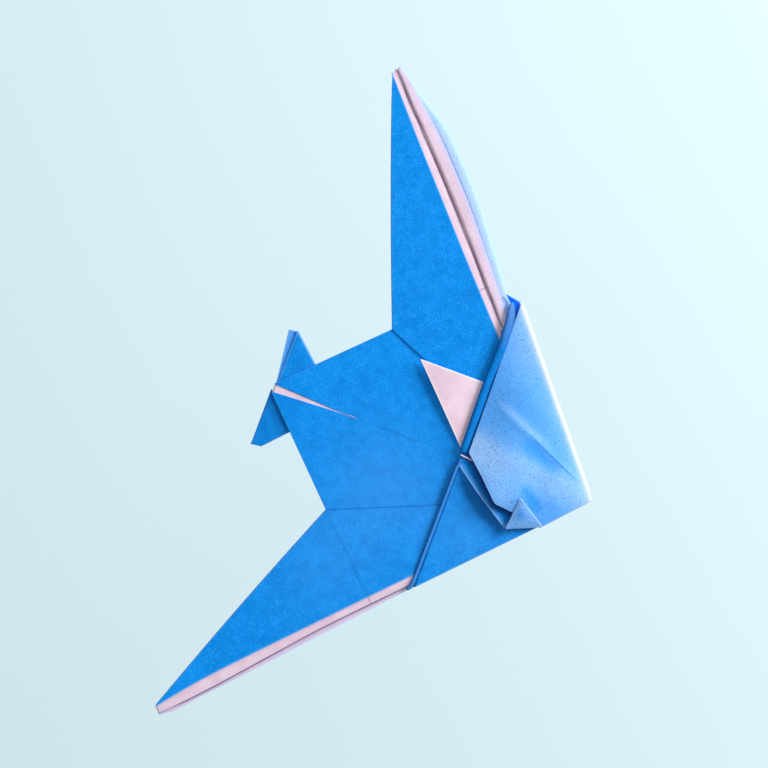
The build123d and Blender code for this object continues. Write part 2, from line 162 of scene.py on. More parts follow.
# A swept-wing plane folded from one square of two-tone paper. Lengths are in millimetres, x counted
# forward from the tail point, y to port and z up; Sheet.build() turns them into the row's metres.

Array = NDArray[np.float64]
Knots = Sequence[tuple[float, float]]
Point = tuple[float, float]
Pin = tuple[float, float, float]

MM = 0.001
PAPER = 0.10
FINE_STEPS = (0.0, 0.1, 0.25, 0.5)
ROOT = "root"
log = logging.getLogger("plane")


class Side(Enum):
    """The two sides of the plane, with the sign of their y."""

    PORT = 1
    STARBOARD = -1

    @property
    def word(self) -> str:
        """The side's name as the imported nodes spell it."""
        return self.name.lower()


class Facing(Enum):
    """Which way the coloured face of a sheet looks, over most of its area."""

    UP = 1
    DOWN = -1


class Coordinates(Enum):
    """What a paper pattern follows: the sheet's own places, or the object's."""

    SHEET = "sheet"
    OBJECT = "object"


# ---------------------------------------------------------------- places taken from the frame


def joint_place(name: str) -> tuple[Array, Array]:
    """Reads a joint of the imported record.

    Args:
        name: the joint's name.

    Returns:
        Its position in millimetres from the tail point, and its unit axis.
    """
    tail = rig.box("belly")[0].x
    joint = next(j for j in frame["joints"] if j["name"] == name)
    position = (np.array(joint["pos_m"]) - np.array([tail, 0.0, 0.0])) / MM
    return position, np.array(joint["axis"], float)


@dataclass(frozen=True)
class Plan:
    """The places that the sub-assemblies share.

    The tail point and length are the belly's, `tip_out` is how far out the wing tips reach, `notch`
    is where a wing's crease meets its trailing edge, `mouth` is how far forward the nose pocket
    opens, and `level` is the back's height.
    """

    tail: float
    length: float
    tip_out: float
    notch: Point
    mouth: float
    level: float

    @classmethod
    def read(cls) -> "Plan":
        """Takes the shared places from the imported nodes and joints.

        Returns:
            The places, in millimetres from the tail point.
        """
        low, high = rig.box("belly")
        notch = joint_place("wing_port_bend")[0]
        return cls(
            tail=low.x / MM,
            length=(high.x - low.x) / MM,
            tip_out=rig.box("wing_lining_port")[1].y / MM - PAPER,
            notch=(notch[0], notch[1]),
            mouth=(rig.box("pocket_hem")[0].x - low.x) / MM,
            level=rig.box("back_port")[1].z / MM,
        )

    @property
    def lead(self) -> tuple[Array, Array, Array, float]:
        """The straight line on the port side from the wing tip to the nose.

        Returns:
            Its start, unit direction, unit inward normal and length.
        """
        tip = np.array([0.0, self.tip_out])
        span = np.array([self.length, 0.0]) - tip
        length = float(np.hypot(*span))
        unit = span / length
        return tip, unit, np.array([unit[1], -unit[0]]), length

    def lead_at(self, share: Array, inset: Array) -> Array:
        """Points beside the tip-to-nose line.

        Args:
            share: how far from tip to nose, 0 to 1.
            inset: how far inwards from the line, in mm.

        Returns:
            Plan points, one row each.
        """
        tip, unit, inwards, length = self.lead
        return tip + np.outer(share * length, unit) + np.outer(inset, inwards)

    def row(self, place: Array) -> tuple[float, ...]:
        """A place in millimetres from the tail point, in the row's metres."""
        return tuple((place + np.array([self.tail, 0.0, 0.0])) * MM)


# ---------------------------------------------------------------- curves and grids


def smooth_curve(knots: Knots, at: Array) -> Array:
    """A cubic through the knots, with each knot's slope taken from its neighbours.

    Args:
        knots: pairs of place and value, in order of place.
        at: places to read.

    Returns:
        The value at each place, held constant beyond the ends.
    """
    places, values = np.array(knots, float).T
    slopes = np.gradient(values, places)
    index = np.clip(np.searchsorted(places, at) - 1, 0, len(places) - 2)
    gap = places[index + 1] - places[index]
    t = np.clip((at - places[index]) / gap, 0.0, 1.0)
    start = (2 * t**3 - 3 * t**2 + 1) * values[index] + (t**3 - 2 * t**2 + t) * gap * slopes[index]
    end = (3 * t**2 - 2 * t**3) * values[index + 1] + (t**3 - t**2) * gap * slopes[index + 1]
    return start + end


def track(stations: Sequence[float], points: Sequence[Sequence[float]], at: Array) -> Array:
    """Places on a line of straight runs.

    Args:
        stations: the parameter at each corner.
        points: the corners.
        at: parameters to read.

    Returns:
        One point for each parameter.
    """
    corners = np.array(points, float)
    return np.stack([np.interp(at, stations, corners[:, i]) for i in range(corners.shape[1])], -1)


def ladder(width: Array, near_start: Sequence[float], near_end: Sequence[float], count: int) -> Array:
    """Distances across a strip: fixed steps close to both edges and even ones between.

    Args:
        width: the strip's width at each ruling.
        near_start: steps from the first edge, starting at 0.
        near_end: steps from the other edge, starting at 0.
        count: how many even steps lie between.

    Returns:
        One row of distances for each ruling, from 0 to its width.
    """
    reach = near_start[-1] + near_end[-1]
    scale = np.minimum(1.0, width / (1.5 * reach))[:, None]
    start = np.array(near_start) * scale
    end = width[:, None] - np.array(near_end)[::-1] * scale
    shares = np.linspace(0, 1, count + 2)[1:-1]
    middle = start[:, -1:] + (end[:, :1] - start[:, -1:]) * shares
    return np.hstack([start, middle, end])


def rulings(first: Array, second: Array, near_first: Sequence[float], near_second: Sequence[float],
            count: int) -> tuple[Array, Array, Array, Array]:
    """Straight lines from one plan curve to another, divided by a ladder.

    Args:
        first: the curve where each line starts.
        second: the curve where it ends.
        near_first: steps close to the first curve.
        near_second: steps close to the second curve.
        count: even steps between.

    Returns:
        Plan points (lines, steps, 2), distance from the first curve, distance from the second
        curve, and each line's unit direction.
    """
    span = second - first
    width = np.maximum(np.hypot(span[:, 0], span[:, 1]), 1e-3)
    unit = span / width[:, None]
    steps = ladder(width, near_first, near_second, count)
    points = first[:, None, :] + unit[:, None, :] * steps[:, :, None]
    return points, steps, width[:, None] - steps, unit


def fold_round(edge: Array, outward: Array, top: Array, bottom: Array, bulge: Array, steps: int) -> Array:
    """A pressed fold: half an ellipse from the top layer's edge round to the bottom layer's.

    Args:
        edge: plan points where the fold starts.
        outward: unit plan directions away from the sheet.
        top: height where it starts.
        bottom: height where it ends.
        bulge: how far the fold stands outside the edge.
        steps: rows round the fold.

    Returns:
        Points (rulings, steps, 3), the start left out.
    """
    angle = np.linspace(0, math.pi, steps + 1)[1:]
    reach = np.asarray(bulge)[:, None] * np.sin(angle)
    plan = edge[:, None, :] + outward[:, None, :] * reach[:, :, None]
    height = ((top + bottom) / 2)[:, None] + ((top - bottom) / 2)[:, None] * np.cos(angle)
    return np.concatenate([plan, height[:, :, None]], -1)


def tucked(fold: Array, outward: Array, depth: float | Array) -> Array:
    """A fold and one more row, its last row moved back in under the sheet.

    Args:
        fold: points (rulings, steps, 3).
        outward: unit plan directions away from the sheet.
        depth: how far back the row lies, for all rulings or as a column.

    Returns:
        Points (rulings, steps + 1, 3).
    """
    level = np.concatenate([outward, np.zeros((len(outward), 1))], 1)
    back = fold[:, -1] - level * depth
    return np.concatenate([fold, back[:, None, :]], 1)


def beside(*blocks: Array | Sequence[float]) -> Array:
    """Blocks of a grid side by side; a plain row of values is repeated for every ruling.

    Args:
        blocks: grids with as many rulings each, or rows of values, at least one of them a grid.

    Returns:
        The joined grid.
    """
    arrays = [np.asarray(block, float) for block in blocks]
    count = max(len(array) for array in arrays if array.ndim > 1)
    return np.concatenate([a if a.ndim > 1 else np.tile(a, (count, 1)) for a in arrays], 1)


def with_height(plan: Array, height: Array) -> Array:
    """Plan points (n, m, 2) and heights (n, m) as points in space."""
    return np.concatenate([plan, np.broadcast_to(height, plan.shape[:2])[:, :, None]], -1)


def thin_plate(knots: Sequence[Sequence[float]], plan: Array) -> Array:
    """Height of a springy sheet pinned at knots: a plane plus r*r*log(r) of each knot's distance.

    Args:
        knots: pins as (x, y, height).
        plan: plan points, any shape ending in 2.

    Returns:
        The height at each plan point.
    """
    pins = np.array(knots, float)
    count = len(pins)

    def bend(a: Array, b: Array) -> Array:
        """r*r*log(r) for every pair of points, the square kept off zero."""
        square = ((a[:, None, :] - b[None, :, :]) ** 2).sum(-1) + 1e-9
        return 0.5 * square * np.log(square)

    plane = np.hstack([np.ones((count, 1)), pins[:, :2]])
    system = np.zeros((count + 3, count + 3))
    system[:count, :count] = bend(pins[:, :2], pins[:, :2])
    system[:count, count:] = plane
    system[count:, :count] = plane.T
    weights = np.linalg.solve(system, np.concatenate([pins[:, 2], np.zeros(3)]))
    flat = plan.reshape(-1, 2)
    height = bend(flat, pins[:, :2]) @ weights[:count] + weights[count] + flat @ weights[count + 1:]
    return height.reshape(plan.shape[:-1])


def line_mark(plan: Array, start: Point, end: Point, width: float, fade: float = 0.0) -> Array:
    """How close plan points are to a line, as a soft band.

    Args:
        plan: plan points, any shape ending in 2.
        start: one end of the line.
        end: the other end.
        width: half width of the band, in mm.
        fade: share of the line's length over which its ends fade.

    Returns:
        1 on the line, falling as exp(-(distance / width) squared).
    """
    a, b = np.array(start, float), np.array(end, float)
    length = float(np.hypot(*(b - a)))
    unit = (b - a) / length
    offset = plan - a
    along = (offset @ unit) / length
    beyond = np.maximum(np.maximum(-along, along - 1), 0) * length
    away = np.hypot(offset @ np.array([-unit[1], unit[0]]), beyond)
    ends = np.clip(np.minimum(along, 1 - along) / fade, 0, 1) if fade else 1.0
    return np.exp(-((away / width) ** 2)) * ends


def cockle(plan: Array, strength: float) -> Array:
    """The slight waviness of folded paper: four crossed sine waves about 11 to 21 mm long.

    Args:
        plan: plan points, any shape ending in 2.
        strength: the waves' common scale, in mm.

    Returns:
        The height to add: each wave is its share times the sine of x*p + y*q + its phase.
    """
    waves = (
        (0.31, 0.17, 0.4, 0.40),
        (-0.12, 0.27, 1.9, 0.35),
        (0.19, -0.42, 3.1, 0.18),
        (0.47, 0.36, 5.2, 0.12),
    )
    return strength * sum(a * np.sin(plan[..., 0] * p + plan[..., 1] * q + r) for p, q, r, a in waves)


# ---------------------------------------------------------------- meshes


@dataclass
class Sheet:
    """One visible layer of paper: a grid of points with its two faces and its cut edge.

    The three marks, wear, painted shade and fading with painted light, are 0 to 1 over the grid.
    The waviness grows from nothing at the belly's level to all of it at `calm_height`, so that the plane lies flat.
    """

    name: str
    points: Array
    faces: "PaperPair"
    facing: Facing = Facing.UP
    wear: Array | None = None
    crease: Array | None = None
    bleach: Array | None = None
    thickness: float = PAPER
    waviness: float = 0.05
    calm_height: float = 0.5
    closed: bool = False
    replaced: tuple[str, ...] = ()
    slot: str = "blue_side"

    def quads(self) -> Array:
        """The grid's faces, turned so that most of their area looks the way `facing` says.

        On a closed grid, the outside of the tube counts as up.

        Returns:
            Four vertex numbers for each face.
        """
        rows, columns = self.points.shape[:2]
        index = np.arange(rows * columns).reshape(rows, columns)
        if self.closed:
            index = np.hstack([index, index[:, :1]])
        corners = [index[:-1, :-1], index[1:, :-1], index[1:, 1:], index[:-1, 1:]]
        quads = np.stack(corners, -1).reshape(-1, 4)
        flat = self.points.reshape(-1, 3)
        a, b, c, d = (flat[quads[:, i]] for i in range(4))
        upward = np.cross(c - a, d - b)[:, 2].sum()
        if self.closed:
            centre = self.points.mean(1, keepdims=True)
            away = (self.points - centre).reshape(-1, 3)[quads[:, 0]]
            upward = (np.cross(c - a, d - b) * away).sum() * self.facing.value
        return quads if upward * self.facing.value > 0 else quads[:, ::-1]

    def build(self, plan: Plan) -> bpy.types.Object:
        """Makes the object, in the row's metres, with its wall, faces and marks.

        Args:
            plan: the shared places.

        Returns:
            The finished object, at the origin.
        """
        points = self.points.copy()
        lift = np.clip(points[..., 2] / self.calm_height, 0, 1)
        points[..., 2] += cockle(points[..., :2], self.waviness) * lift
        flat = points.reshape(-1, 3)
        quads = self.quads()
        mesh = bpy.data.meshes.new(self.name)
        mesh.vertices.add(len(flat))
        metres = (flat + np.array([plan.tail, 0.0, 0.0])) * MM
        mesh.vertices.foreach_set("co", metres.astype(np.float32).ravel())
        mesh.loops.add(quads.size)
        mesh.loops.foreach_set("vertex_index", quads.astype(np.int32).ravel())
        mesh.polygons.add(len(quads))
        mesh.polygons.foreach_set("loop_start", np.arange(0, quads.size, 4, dtype=np.int32))
        mesh.polygons.foreach_set("loop_total", np.full(len(quads), 4, np.int32))
        mesh.update(calc_edges=True)
        mesh.polygons.foreach_set("use_smooth", np.ones(len(quads), bool))
        self.mark(mesh, flat)
        mesh.validate()
        for material in self.faces.materials():
            mesh.materials.append(material)
        piece = bpy.data.objects.new(self.name, mesh)
        bpy.context.scene.collection.objects.link(piece)
        wall = piece.modifiers.new("paper", "SOLIDIFY")
        wall.thickness = self.thickness * MM
        wall.offset = -1.0
        wall.material_offset = 1
        wall.material_offset_rim = 2
        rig.slot(piece, self.slot)
        if self.replaced:
            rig.replaces(piece, *self.replaced)
        log.info("%s: %d faces", self.name, len(quads))
        return piece

    def mark(self, mesh: bpy.types.Mesh, flat: Array) -> None:
        """Stores what the finishes read: places on the sheet, wear, painted shade, and fading with painted light.

        Args:
            mesh: the new mesh.
            flat: its vertices in millimetres, one row each.
        """
        places = mesh.attributes.new("sheet", "FLOAT_VECTOR", "POINT")
        places.data.foreach_set("vector", flat.astype(np.float32).ravel())
        for name, values in (("wear", self.wear), ("crease", self.crease), ("bleach", self.bleach)):
            layer = mesh.attributes.new(name, "FLOAT", "POINT")
            shape = self.points.shape[:2]
            filled = np.zeros(shape) if values is None else np.broadcast_to(values, shape)
            layer.data.foreach_set("value", filled.astype(np.float32).ravel())


def mirrored(points: Array, side: Side) -> Array:
    """Points made for port, moved to the given side."""
    return points * np.array([1.0, side.value, 1.0])


def soft_round(points: Array, centre: Point, radius: float) -> Array:
    """1 at a plan centre, falling as exp(-(distance / radius) squared)."""
    away = (points[..., 0] - centre[0]) ** 2 + (points[..., 1] - centre[1]) ** 2
    return np.exp(-away / radius**2)


def handled(points: Array) -> Array:
    """Slight fading of the starboard middle, where the folder's hand has rested: three soft rounds."""
    rounds = (((31.0, -12.0), 13.0, 0.05), ((52.0, -16.0), 9.0, 0.04), ((24.0, -32.0), 12.0, 0.03))
    return sum(strength * soft_round(points, centre, radius) for centre, radius, strength in rounds)


def edge_wear(distance: Array, band: float) -> Array:
    """Rubbing close to an edge: 1 on it, falling evenly to 0 at the band's width."""
    return np.clip(1 - distance / band, 0, 1)


def tube(path: Array, half_width: Array, half_height: Array, steps: int) -> Array:
    """An oval carried along a path in plan: the width lies level across it, the height upright.

    Args:
        path: centreline points (n, 3).
        half_width: level half axis at each point.
        half_height: upright half axis at each point.
        steps: points round the oval.

    Returns:
        A grid (n, steps, 3), closed round its second axis.
    """
    run = np.gradient(path, axis=0)
    across = np.stack([-run[:, 1], run[:, 0], np.zeros(len(path))], -1)
    across /= np.linalg.norm(across, axis=1)[:, None]
    angle = np.linspace(0, 2 * math.pi, steps, endpoint=False)
    level = half_width[:, None, None] * np.cos(angle)[None, :, None] * across[:, None, :]
    upright = (half_height[:, None] * np.sin(angle))[:, :, None] * np.array([0.0, 0.0, 1.0])
    return path[:, None, :] + level + upright


# ---------------------------------------------------------------- finishes


def linear(colour: str) -> tuple[float, float, float, float]:
    """Turns an sRGB hex colour to linear light, by the sRGB curve.

    Args:
        colour: a hash and six hex digits.

    Returns:
        Red, green, blue and an alpha of 1.
    """
    parts = [int(colour[i:i + 2], 16) / 255 for i in (1, 3, 5)]
    red, green, blue = (p / 12.92 if p <= 0.04045 else ((p + 0.055) / 1.055) ** 2.4 for p in parts)
    return red, green, blue, 1.0


def add_node(tree: bpy.types.NodeTree, kind: str, inputs: dict | None = None,
             **settings: object) -> bpy.types.Node:
    """Adds one node with its settings and inputs.

    Args:
        tree: the node tree.
        kind: the node's type.
        inputs: input names or numbers, each with a value or with the socket to link from.
        settings: the node's own properties.

    Returns:
        The node.
    """
    node = tree.nodes.new(kind)
    for name, value in settings.items():
        setattr(node, name, value)
    for key, value in (inputs or {}).items():
        if isinstance(value, bpy.types.NodeSocket):
            tree.links.new(value, node.inputs[key])
        else:
            node.inputs[key].default_value = value
    return node


@dataclass(frozen=True)
class PaperFace:
    """One face of machine-made folding paper, with fibres, mottling, rubbed edges, painted shade and painted light.

    Each `_mm` is the size of a pattern on the paper. Pulp fibres are 0.02 to 0.05 mm thick and the
    gaps in a coat about 0.1 mm wide: both are too fine to show, so fibre_mm and fleck_mm are drawn
    some three times as coarse. Mottling, the cloudy spread of the pulp, is at its real 2 to 4 mm.
    """

    name: str
    base: str
    deep: str
    fleck: str
    rubbed: str
    bleached: str
    creased: str
    fleck_mm: float
    fleck_share: float
    mottle_mm: float
    fibre_mm: float
    roughness: float
    bump: float
    gloss: float = 0.25
    relief_mm: float = 0.05
    roughness_spread: float = 0.06
    crowding: float = 0.45

    def material(self, coordinates: Coordinates) -> bpy.types.Material:
        """Makes the material, or gives the one made before.

        Args:
            coordinates: what the pattern follows.

        Returns:
            The node material.
        """
        name = f"{self.name}_{coordinates.value}"
        if name in bpy.data.materials:
            return bpy.data.materials[name]
        material = bpy.data.materials.new(name)
        material.use_nodes = True
        tree = material.node_tree
        tree.nodes.clear()
        place = self.place(tree, coordinates)
        mottle, fleck, fibre = (
            add_node(tree, "ShaderNodeTexNoise", {"Vector": place, "Scale": 1 / size, "Detail": detail})
            for size, detail in ((self.mottle_mm, 5.0), (self.fleck_mm, 2.0), (self.fibre_mm, 4.0)))
        colour = self.colour(tree, mottle.outputs["Fac"], fleck.outputs["Fac"])
        low, high = self.roughness - self.roughness_spread, self.roughness + self.roughness_spread
        rough = add_node(tree, "ShaderNodeMapRange", {
            "Value": mottle.outputs["Fac"], "From Min": 0.3, "From Max": 0.7, "To Min": low, "To Max": high})
        height = add_node(
            tree, "ShaderNodeMath", {0: fibre.outputs["Fac"], 1: fleck.outputs["Fac"]}, operation="ADD")
        bump = add_node(tree, "ShaderNodeBump", {
            "Strength": self.bump, "Distance": self.relief_mm * MM, "Height": height.outputs[0]})
        shader = add_node(tree, "ShaderNodeBsdfPrincipled", {
            "Base Color": colour, "Roughness": rough.outputs["Result"], "Normal": bump.outputs["Normal"],
            "Specular IOR Level": self.gloss})
        add_node(tree, "ShaderNodeOutputMaterial", {"Surface": shader.outputs["BSDF"]})
        return material

    @staticmethod
    def place(tree: bpy.types.NodeTree, coordinates: Coordinates) -> bpy.types.NodeSocket:
        """Adds the pattern's coordinates.

        Args:
            tree: the node tree.
            coordinates: what the pattern follows.

        Returns:
            The socket that gives them, in millimetres.
        """
        if coordinates is Coordinates.SHEET:
            return add_node(tree, "ShaderNodeAttribute", attribute_name="sheet").outputs["Vector"]
        texture = add_node(tree, "ShaderNodeTexCoord")
        scale = (1 / MM, 1 / MM, 1 / MM)
        mapping = add_node(tree, "ShaderNodeMapping", {"Vector": texture.outputs["Object"], "Scale": scale})
        return mapping.outputs["Vector"]

    def colour(self, tree: bpy.types.NodeTree, mottle: bpy.types.NodeSocket,
               fleck: bpy.types.NodeSocket) -> bpy.types.NodeSocket:
        """Mixes the face's colours: base to deep by mottling, then fading and painted light, flecks, painted shade,
        rubbing.

        Args:
            tree: the node tree.
            mottle: the broad pattern.
            fleck: the fine pattern.

        Returns:
            The socket of the mixed colour.
        """
        def mix(factor: bpy.types.NodeSocket, first: object, second: object) -> bpy.types.NodeSocket:
            """The first colour turned to the second by a factor."""
            node = add_node(tree, "ShaderNodeMix", {0: factor, 6: first, 7: second}, data_type="RGBA")
            return node.outputs[2]

        def between(value: bpy.types.NodeSocket, low: float, high: float) -> bpy.types.NodeSocket:
            """0 at the low value of a pattern, 1 at the high one."""
            inputs = {"Value": value, "From Min": low, "From Max": high, "To Min": 0.0, "To Max": 1.0}
            return add_node(tree, "ShaderNodeMapRange", inputs).outputs["Result"]

        def mark(name: str) -> bpy.types.NodeSocket:
            """One of the sheet's stored marks."""
            return add_node(tree, "ShaderNodeAttribute", attribute_name=name).outputs["Fac"]

        broad = mix(between(mottle, 0.38, 0.66), linear(self.base), linear(self.deep))
        # Paler where the sheet is marked: real fading in some places, and painted sheen, painted highlight or painted
        # lavender shade in others.
        pale = mix(mark("bleach"), broad, linear(self.bleached))
        crowd = add_node(tree, "ShaderNodeMapRange", {
            "Value": mottle, "From Min": 0.35, "From Max": 0.65,
            "To Min": self.fleck_share, "To Max": self.fleck_share * self.crowding})
        specks = add_node(
            tree, "ShaderNodeMath", {0: between(fleck, 0.5, 0.7), 1: crowd.outputs["Result"]},
            operation="MULTIPLY")
        flecked = mix(specks.outputs[0], pale, linear(self.fleck))
        creased = mix(mark("crease"), flecked, linear(self.creased))
        return mix(mark("wear"), creased, linear(self.rubbed))


# Origami kraft paper, roller-coated blue on one face: an even, slightly satin colour, broken by
# pale fibres that the coat has not covered, and worn to the pulp where it is folded or cut.
BLUE_FACE = PaperFace(
    name="roller_coated_blue_paper", base="#0090EC", deep="#0085DF", fleck="#3CA9FF", rubbed="#9CCBFF",
    bleached="#B8D0FF", creased="#044694", fleck_mm=0.3, fleck_share=0.9, mottle_mm=2.2, fibre_mm=0.14,
    roughness=0.6, bump=0.45, gloss=0.06)

# The same coat with painted shade: a deeper, purer blue, for the shaded inside of the pocket.
SHADED_BLUE_FACE = PaperFace(
    name="unfaded_blue_paper", base="#0A70FF", deep="#0866F0", fleck="#2A86FF", rubbed="#6FB0FF",
    bleached="#8CC0FF", creased="#0546A6", fleck_mm=0.3, fleck_share=0.4, mottle_mm=3.6, fibre_mm=0.14,
    roughness=0.6, bump=0.3, gloss=0.06)

# The same blue face with painted sheen: paler, with dark pin-point flecks, for the raised flap and its folded corner.
SHEEN_BLUE_FACE = PaperFace(
    name="handled_blue_paper", base="#4CA8FB", deep="#3C9CF4", fleck="#1464BE", rubbed="#F0E4FA",
    bleached="#9CCBFF", creased="#0F68C8", fleck_mm=0.28, fleck_share=0.75, mottle_mm=4.0, fibre_mm=0.14,
    roughness=0.55, bump=0.45, gloss=0.12)

# The uncoated back of the sheet: bleached pulp, matt, faintly warm, with soft cloudy formation.
PLAIN_FACE = PaperFace(
    name="uncoated_pulp_paper", base="#F0D4E1", deep="#E6C6D5", fleck="#FBE4EE", rubbed="#FFFFFF",
    bleached="#C9C6F4", creased="#8A648A", fleck_mm=0.5, fleck_share=0.4, mottle_mm=4.0, fibre_mm=0.16,
    roughness=0.72, bump=0.3)

# The cut edge: bare fibres, nearly white.
CUT_EDGE = PaperFace(
    name="cut_paper_edge", base="#EAF2FF", deep="#D4E2FA", fleck="#FFFFFF", rubbed="#FFFFFF",
    bleached="#FFFFFF", creased="#C4D4EE", fleck_mm=0.2, fleck_share=0.5, mottle_mm=2.0, fibre_mm=0.08,
    roughness=0.8, bump=0.4)


@dataclass(frozen=True)
class PaperPair:
    """The finishes of a sheet's outward face, its other face and its cut edge."""

    outward: PaperFace
    inward: PaperFace
    edge: PaperFace = CUT_EDGE

    def materials(self) -> list[bpy.types.Material]:
        """The three materials in the order that the sheet's wall expects."""
        return [face.material(Coordinates.SHEET) for face in (self.outward, self.inward, self.edge)]


BLUE_OUT = PaperPair(BLUE_FACE, PLAIN_FACE)
BLUE_CREASED = PaperPair(BLUE_FACE, PLAIN_FACE, BLUE_FACE)
BLUE_FOLD = PaperPair(BLUE_FACE, BLUE_FACE, BLUE_FACE)
POCKET_OUT = PaperPair(SHADED_BLUE_FACE, BLUE_FACE, SHADED_BLUE_FACE)
SHEEN_OUT = PaperPair(SHEEN_BLUE_FACE, PLAIN_FACE, SHEEN_BLUE_FACE)
PLAIN_OUT = PaperPair(PLAIN_FACE, BLUE_FACE)


# ---------------------------------------------------------------- sub-assemblies


@dataclass(frozen=True)
class LayerMarks:
    """How strongly an inner layer of a wing is marked, each 0 to 1.

    Gap shade is painted shade along the line where it comes out from under the layer above, rubbing is along its
    leading edge, and edge shade is painted lavender shade there.
    """

    soil: float
    rubbed: float
    tint: float


PLEAT_MARKS = LayerMarks(soil=0.15, rubbed=0.5, tint=0.2)
LINING_MARKS = LayerMarks(soil=0.8, rubbed=0.15, tint=0.9)


@dataclass
class Wing:
    """One wing: a folded skin over fanned inner layers, with its crease at the notch.

    An edge or the rim gives the distance inwards from the line between tip and nose, for a share
    of that line's length. A rise gives a layer's height for the distance from its leading edge, in
    widths of the strip that shows. All are sizes of the port wing; the other is mirrored.
    """

    plan: Plan
    side: Side
    skin_edge: Knots
    pleat_edge: Knots
    lining_edge: Knots
    rim: Knots
    pleat_rise: Knots
    lining_rise: Knots
    rolled: bool
    under_end: Point
    crease_mark: float
    seam_mark: float
    tip_share: float = 0.006
    crease_share: float = 0.5
    skin_height: float = 1.14
    inner_slope: float = 22.5
    skin_tuck: float = 2.6
    layer_tuck: float = 0.7
    layer_end: float = 26.0
    layer_share: float = 0.93
    trailing_bulge: float = 0.16
    trailing_turn: float = 0.9
    tip_trailing: Point = (0.9, 73.4)
    trailing_bow: float = 0.25
    roll_turn: float = 0.8
    line_width: float = 0.22
    nick_width: float = 0.16
    blend_reach: float = 0.35

    def stations(self) -> Array:
        """Parameters of the rulings: 0 at the tip, 1 at the crease, 2 in the nose pocket."""
        close = np.array([0.984, 0.99, 0.994, 0.997, 1.003, 1.006, 1.012, 1.02])
        return np.unique(np.concatenate([np.linspace(0, 1, 141), close, np.linspace(1, 2, 61)]))

    def leading(self, knots: Knots, end_x: float) -> Array:
        """A layer's leading edge: the line from tip to nose, moved inwards by a smooth curve.

        Args:
            knots: the curve's knots.
            end_x: how far forward of the tail the edge ends.

        Returns:
            One plan point for each station.
        """
        station = self.stations()
        outer = self.tip_share + (self.crease_share - self.tip_share) * np.minimum(station, 1)
        _, unit, inwards, length = self.plan.lead
        last = (end_x - inwards[0] * knots[-1][1]) / (unit[0] * length)
        share = outer + (last - self.crease_share) * np.maximum(station - 1, 0)
        return self.plan.lead_at(share, smooth_curve(knots, share))

    def trailing(self, end: Point) -> Array:
        """The trailing edge: straight from tip to notch, bowed aft by half a sine, and on to an end.

        Args:
            end: the plan point where it ends, inside the nose pocket.

        Returns:
            One plan point for each station.
        """
        station = self.stations()
        line = track([0, 1, 2], [self.tip_trailing, self.plan.notch, end], station)
        line[:, 0] -= self.trailing_bow * np.sin(math.pi * np.clip(station, 0, 1))
        return line

    def hinge(self, piece: bpy.types.Object) -> None:
        """Lets a layer bend along the crease between the body and the wing.

        Args:
            piece: the layer's object.
        """
        place, axis = joint_place(f"wing_{self.side.word}_bend")
        outward = np.array([-abs(axis[1]), abs(axis[0]) * self.side.value, 0.0])
        start = self.plan.row(place - outward * self.blend_reach)
        end = self.plan.row(place + outward * self.blend_reach)
        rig.blend(piece, ROOT, f"wing_{self.side.word}", start=start, end=end)

    def crease_line(self, points: Array) -> Array:
        """Painted shade along the crease from the notch to the leading edge.

        Args:
            points: plan points of the skin.

        Returns:
            The mark's strength at each point.
        """
        end = tuple(self.plan.lead_at(np.array([self.crease_share]), np.array([0.0]))[0])
        return self.crease_mark * line_mark(points, self.plan.notch, end, self.line_width, fade=0.3)

    def skin(self) -> Sheet:
        """The top skin: level rulings from the leading to the trailing edge, where it turns under.

        Returns:
            The sheet.
        """
        plan = self.plan
        end_x = plan.mouth + self.skin_tuck
        slope = math.tan(math.radians(self.inner_slope))
        lead = self.leading(self.skin_edge, end_x)
        trail = self.trailing((end_x, plan.notch[1] - (end_x - plan.notch[0]) * slope))
        lead_steps, trail_steps = (0, 0.1, 0.22, 0.4, 0.8), (0, 0.15, 0.35, 0.7)
        plan_points, from_lead, from_trail, unit = rulings(lead, trail, lead_steps, trail_steps, 44)
        station = self.stations()
        height = np.full(plan_points.shape[:2], self.skin_height)
        drop = np.interp(station, [0, 0.97, 1.0, 1.03, 2], [0.95, 1.0, 0.6, 0.2, 0.2])
        bottom = self.skin_height - drop * np.interp(station, [0, 0.05], [0.7, 1.0])
        fold = fold_round(trail, unit, height[:, -1], bottom, np.full(len(trail), self.trailing_bulge), 7)
        fold = tucked(fold, unit, np.minimum(self.trailing_turn, from_lead[:, -1:] * 0.5))
        points = beside(with_height(plan_points, height), fold)
        outboard = (station < 1.0)[:, None]
        rubbed = 0.85 * edge_wear(from_lead, 0.3) + 0.12 * edge_wear(from_trail, 0.3) * outboard
        fold_rubbed = np.array([0.15, 0.3, 0.3, 0.3, 0.2, 0.1, 0.0, 0.0]) * outboard
        wear = beside(rubbed, fold_rubbed)
        # Painted shade along the skin's inner edge, where it lies over the back, and along its crease.
        seam = beside(self.seam_mark * edge_wear(from_trail, 0.25), np.full(fold.shape[1], self.seam_mark))
        crease = np.maximum(self.crease_line(points[..., :2]), seam * ~outboard)
        word = self.side.word
        sided = mirrored(points, self.side)
        return Sheet(
            f"wing_skin_{word}", sided, BLUE_OUT, wear=wear, crease=crease, bleach=handled(sided),
            replaced=(f"wing_top_{word}", f"wing_root_top_{word}"))

